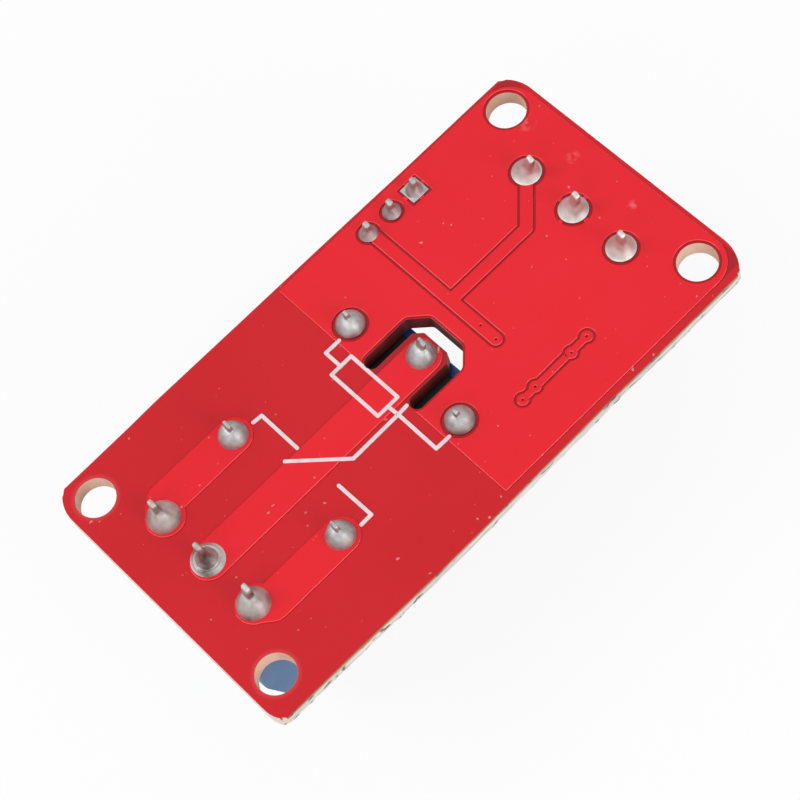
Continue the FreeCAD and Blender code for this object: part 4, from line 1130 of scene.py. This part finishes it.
# node: edge width in mm and the record's slot
softened = {
    "relay_base": (0.10, "black_plastic"),
    "relay_yoke": (0.10, "magnet_iron"),
    "relay_core": (0.08, "magnet_iron"),
    "relay_bobbin": (0.08, "bobbin_plastic"),
    "relay_armature": (0.08, "magnet_iron"),
    "relay_contact_leaf": (0.03, "contact_brass"),
    "header_insulator": (0.08, "black_plastic"),
    "jumper_cap": (0.14, "black_plastic"),
    "jumper_clip": (0.03, "contact_brass"),
    "optocoupler": (0.16, "black_plastic"),
    "optocoupler_leads": (0.04, "tinned_metal"),
    "transistor": (0.10, "black_plastic"),
    "transistor_leads": (0.03, "tinned_metal"),
    "flyback_diode": (0.12, "black_plastic"),
    "resistors": (0.05, "chip_ceramic"),
    "chip_terminals": (0.04, "tinned_metal"),
    "output_terminal_housing": (0.08, "block_blue"),
    "input_terminal_housing": (0.08, "block_blue"),
}
for end in ("output", "input"):
    for way in (1, 2, 3):
        softened["%s_terminal_screw_%d" % (end, way)] = (0.08, "terminal_steel")
        softened["%s_wire_guard_%d" % (end, way)] = (0.04, "terminal_steel")

# Tails that end inside leaning solder joints are bent with them.
bentTails = {
    "relay_coil_pins": (("coil",), "tinned_metal", 0.05),
    "relay_common_terminal": (("common",), "contact_brass", 0.04),
    "relay_open_contact": (("contact",), "contact_brass", 0.04),
    "relay_closed_contact": (("contact",), "contact_brass", 0.04),
    "output_terminal_frames": (("output",), "terminal_steel", 0.06),
    "input_terminal_frames": (("input",), "terminal_steel", 0.06),
    "header_pins": (("header",), "gold_pins", 0.05),
}
tails = {"level": 0.02, "bentAbove": 0.3, "slim": 0.6, "short": 0.15}
blockCorner = {"round": 0.6, "segments": 5}
seam = {"wide": 0.28, "deep": 0.22, "y": (-2.54, 2.54), "low": -12, "top": -1.5, "face": -11.6}
grip = {"x": (6.4, 10.56), "y": [(9.4, 0.3, 0.12), (11.9, 0.12, 0.3)], "z": (-10.3, -9.7, -9.1), "wide": 0.3}


# The ways of a block are parted by a shallow seam down the front and along the face away from the board.
def seamBoxes(front, face):
    half = seam["wide"] / 2
    return [(spanX, (y - half, y + half), (seam["low"], top))
            for spanX, top in ((front, seam["top"]), (face, seam["face"] + seam["deep"])) for y in seam["y"]]


def gripBoxes():
    return [(grip["x"], (y - before, y + after), (z, z + grip["wide"]))
            for y, before, after in grip["y"] for z in grip["z"]]


# Small cuts that the solids leave out: boxes as x, y and z spans, and round dimples as x, y, width, z span.
cuts = {
    "optocoupler": ([], [(8.55, 0.5, 0.9, (-5.4, -5.05))]),
    "relay_case": ([], [(-13.0, 5.7, 1.5, (-16.9, -16.45)), (2.4, -5.9, 0.8, (-16.9, -16.5))]),
    "jumper_cap": (gripBoxes(), []),
    "output_terminal_housing": (seamBoxes((-23.4, -22.8 + seam["deep"]), (-23.4, -14.5)), []),
    "input_terminal_housing": (seamBoxes((22.4 - seam["deep"], 23), (14.2, 23)), []),
}


def cutCopy(name, bm):
    if name not in cuts:
        return bm
    boxes, dimples = cuts[name]
    cutters = []
    for spanX, spanY, spanZ in boxes:
        tool = bmesh.new()
        addPlate(tool, spanX, spanY, *spanZ)
        cutters.append(asObject(tool, "box"))
    for x, y, width, spanZ in dimples:
        cutters.append(bandTool("dimple", [([(x, y)], width)], *spanZ, 32))
    mesh = carve(asObject(bm, name), cutters)
    changed = bmesh.new()
    changed.from_mesh(mesh)
    return changed


def bendTails(bm, kinds):
    splitAt(bm, at(0, 0, tails["level"]), (0, 0, 1))
    places = [(at(*spot), joints[kind][1], lean)
              for kind in kinds for spot, lean in zip(pads[kind], joints[kind][3])]
    for vert in bm.verts:
        if vert.co.z > at(0, 0, tails["bentAbove"]).z:
            spot, tip, lean = min(places, key=lambda item: (item[0].xy - vert.co.xy).length)
            middle = spot + Vector((lean[0] * mm, lean[1] * mm, 0))
            vert.co.x = middle.x + (vert.co.x - spot.x) * tails["slim"]
            vert.co.y = middle.y + (vert.co.y - spot.y) * tails["slim"]
            vert.co.z = at(0, 0, tip - tails["short"]).z


# The two long corners of a block's front.
def frontCorners(name, bm):
    low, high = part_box(name)
    front = low.x if name.startswith("output") else high.x

    def onCorner(point):
        away = max(abs(point.x - front), min(abs(point.y - low.y), abs(point.y - high.y)))
        return away < 0.01 * mm

    return [edge for edge in bm.edges
            if edge.calc_length() > mm and all(onCorner(vert.co) for vert in edge.verts)]


def makeCopies():
    for name, (width, slotName) in softened.items():
        bm = copyNode(name)
        if name.endswith("housing"):
            roundEdges(bm, frontCorners(name, bm), blockCorner["round"], blockCorner["segments"])
        bm = cutCopy(name, bm)
        softenEdges(bm, width)
        settleCopy(name, bm, slotName)
    for name, (kinds, slotName, width) in bentTails.items():
        bm = copyNode(name)
        bendTails(bm, kinds)
        softenEdges(bm, width)
        settleCopy(name, bm, slotName)


# The winding shows its turns.
winding = {"turns": 24, "wire": 0.05, "inner": 3.1, "segments": 72,
           # share of a turn, and how deep the surface lies there
           "round": [(0.0, 1.0), (0.18, 0.35), (0.5, 0.0), (0.82, 0.35)]}


def makeWinding():
    low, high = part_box("relay_coil")
    middle = (low + high) / 2
    inner, outer, wire = winding["inner"] * mm, (high.x - low.x) / 2, winding["wire"] * mm
    pitch = (high.z - low.z) / winding["turns"]
    profile = [(inner, low.z)]
    profile += [(outer - wire * depth, low.z + pitch * (turn + part))
                for turn in range(winding["turns"]) for part, depth in winding["round"]]
    profile += [(outer - wire, high.z), (inner, high.z)]
    bm = bmesh.new()
    verts = [bm.verts.new((middle.x + reach, middle.y, z)) for reach, z in profile]
    edges = [bm.edges.new(pair) for pair in zip(verts, verts[1:] + verts[:1])]
    bmesh.ops.spin(bm, geom=verts + edges, cent=middle, axis=(0, 0, 1), angle=2 * math.pi,
                   steps=winding["segments"], use_merge=True)
    bmesh.ops.recalc_face_normals(bm, faces=bm.faces)
    settle("winding", bm, nodes["relay_coil"]["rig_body"], "winding_wire", ["relay_coil"], smooth=True)


# Relay case: the mould's draft narrows it away from the board.

relayCase = {"draft": 0.22, "edge": 0.10}


def makeRelayCase():
    bm = copyNode("relay_case")
    low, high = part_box("relay_case")
    middle = (low + high) / 2
    for vert in bm.verts:
        share = (high.z - vert.co.z) / (high.z - low.z)
        for axis in (0, 1):
            half = (high[axis] - low[axis]) / 2
            vert.co[axis] -= (vert.co[axis] - middle[axis]) / half * relayCase["draft"] * mm * share
    settleCopy("relay_case", cutCopy("relay_case", bm), "relay_blue", smoothAngle=32)


# The band that marks one end of the diode.
diodeBand = {"x": (-0.55, -0.05), "proud": 0.015, "tall": 1.2, "edge": 0.11}


def makeDiodeBand():
    low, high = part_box("flyback_diode")
    proud = diodeBand["proud"]
    spanY = (low.y / mm - place["middleY"] - proud, high.y / mm - place["middleY"] + proud)
    bottom = low.z / mm - place["face"]
    bm = bmesh.new()
    addPlate(bm, diodeBand["x"], spanY, bottom - proud, bottom + diodeBand["tall"])
    softenEdges(bm, diodeBand["edge"], 3)
    settle("diodeBand", bm, "module", "print_ink")


# The nodes that keep their own shape take their finish here.

def finishNodes():
    for name, node in nodes.items():
        if node.hide_render:
            continue
        slotName = next((slot.material.name for slot in node.material_slots if slot.material), "")
        look = next((slotFinish[known] for known in slotFinish if slotName.startswith(known)), None)
        if look is None:
            print("no finish for", name, slotName)
            continue
        for slot in node.material_slots:
            slot.material = finishes[look]


makeCamera()
makeStudio()
makeFloor()
print("stage: camera, light and floor")
finishes = makeFinishes()
makeBoard()
print("stage: board")
makePour()
makeSpokes()
makeTracks()
makePrint()
makeSplinter()
makeUnderside()
print("stage: copper and print")
makeJoints()
print("stage: solder joints")
makeCopies()
makeRelayCase()
makeWinding()
makeDiodeBand()
print("stage: parts of the component side")
finishNodes()
print("stage: finishes")

bpy.context.scene.view_settings.view_transform = "Standard"
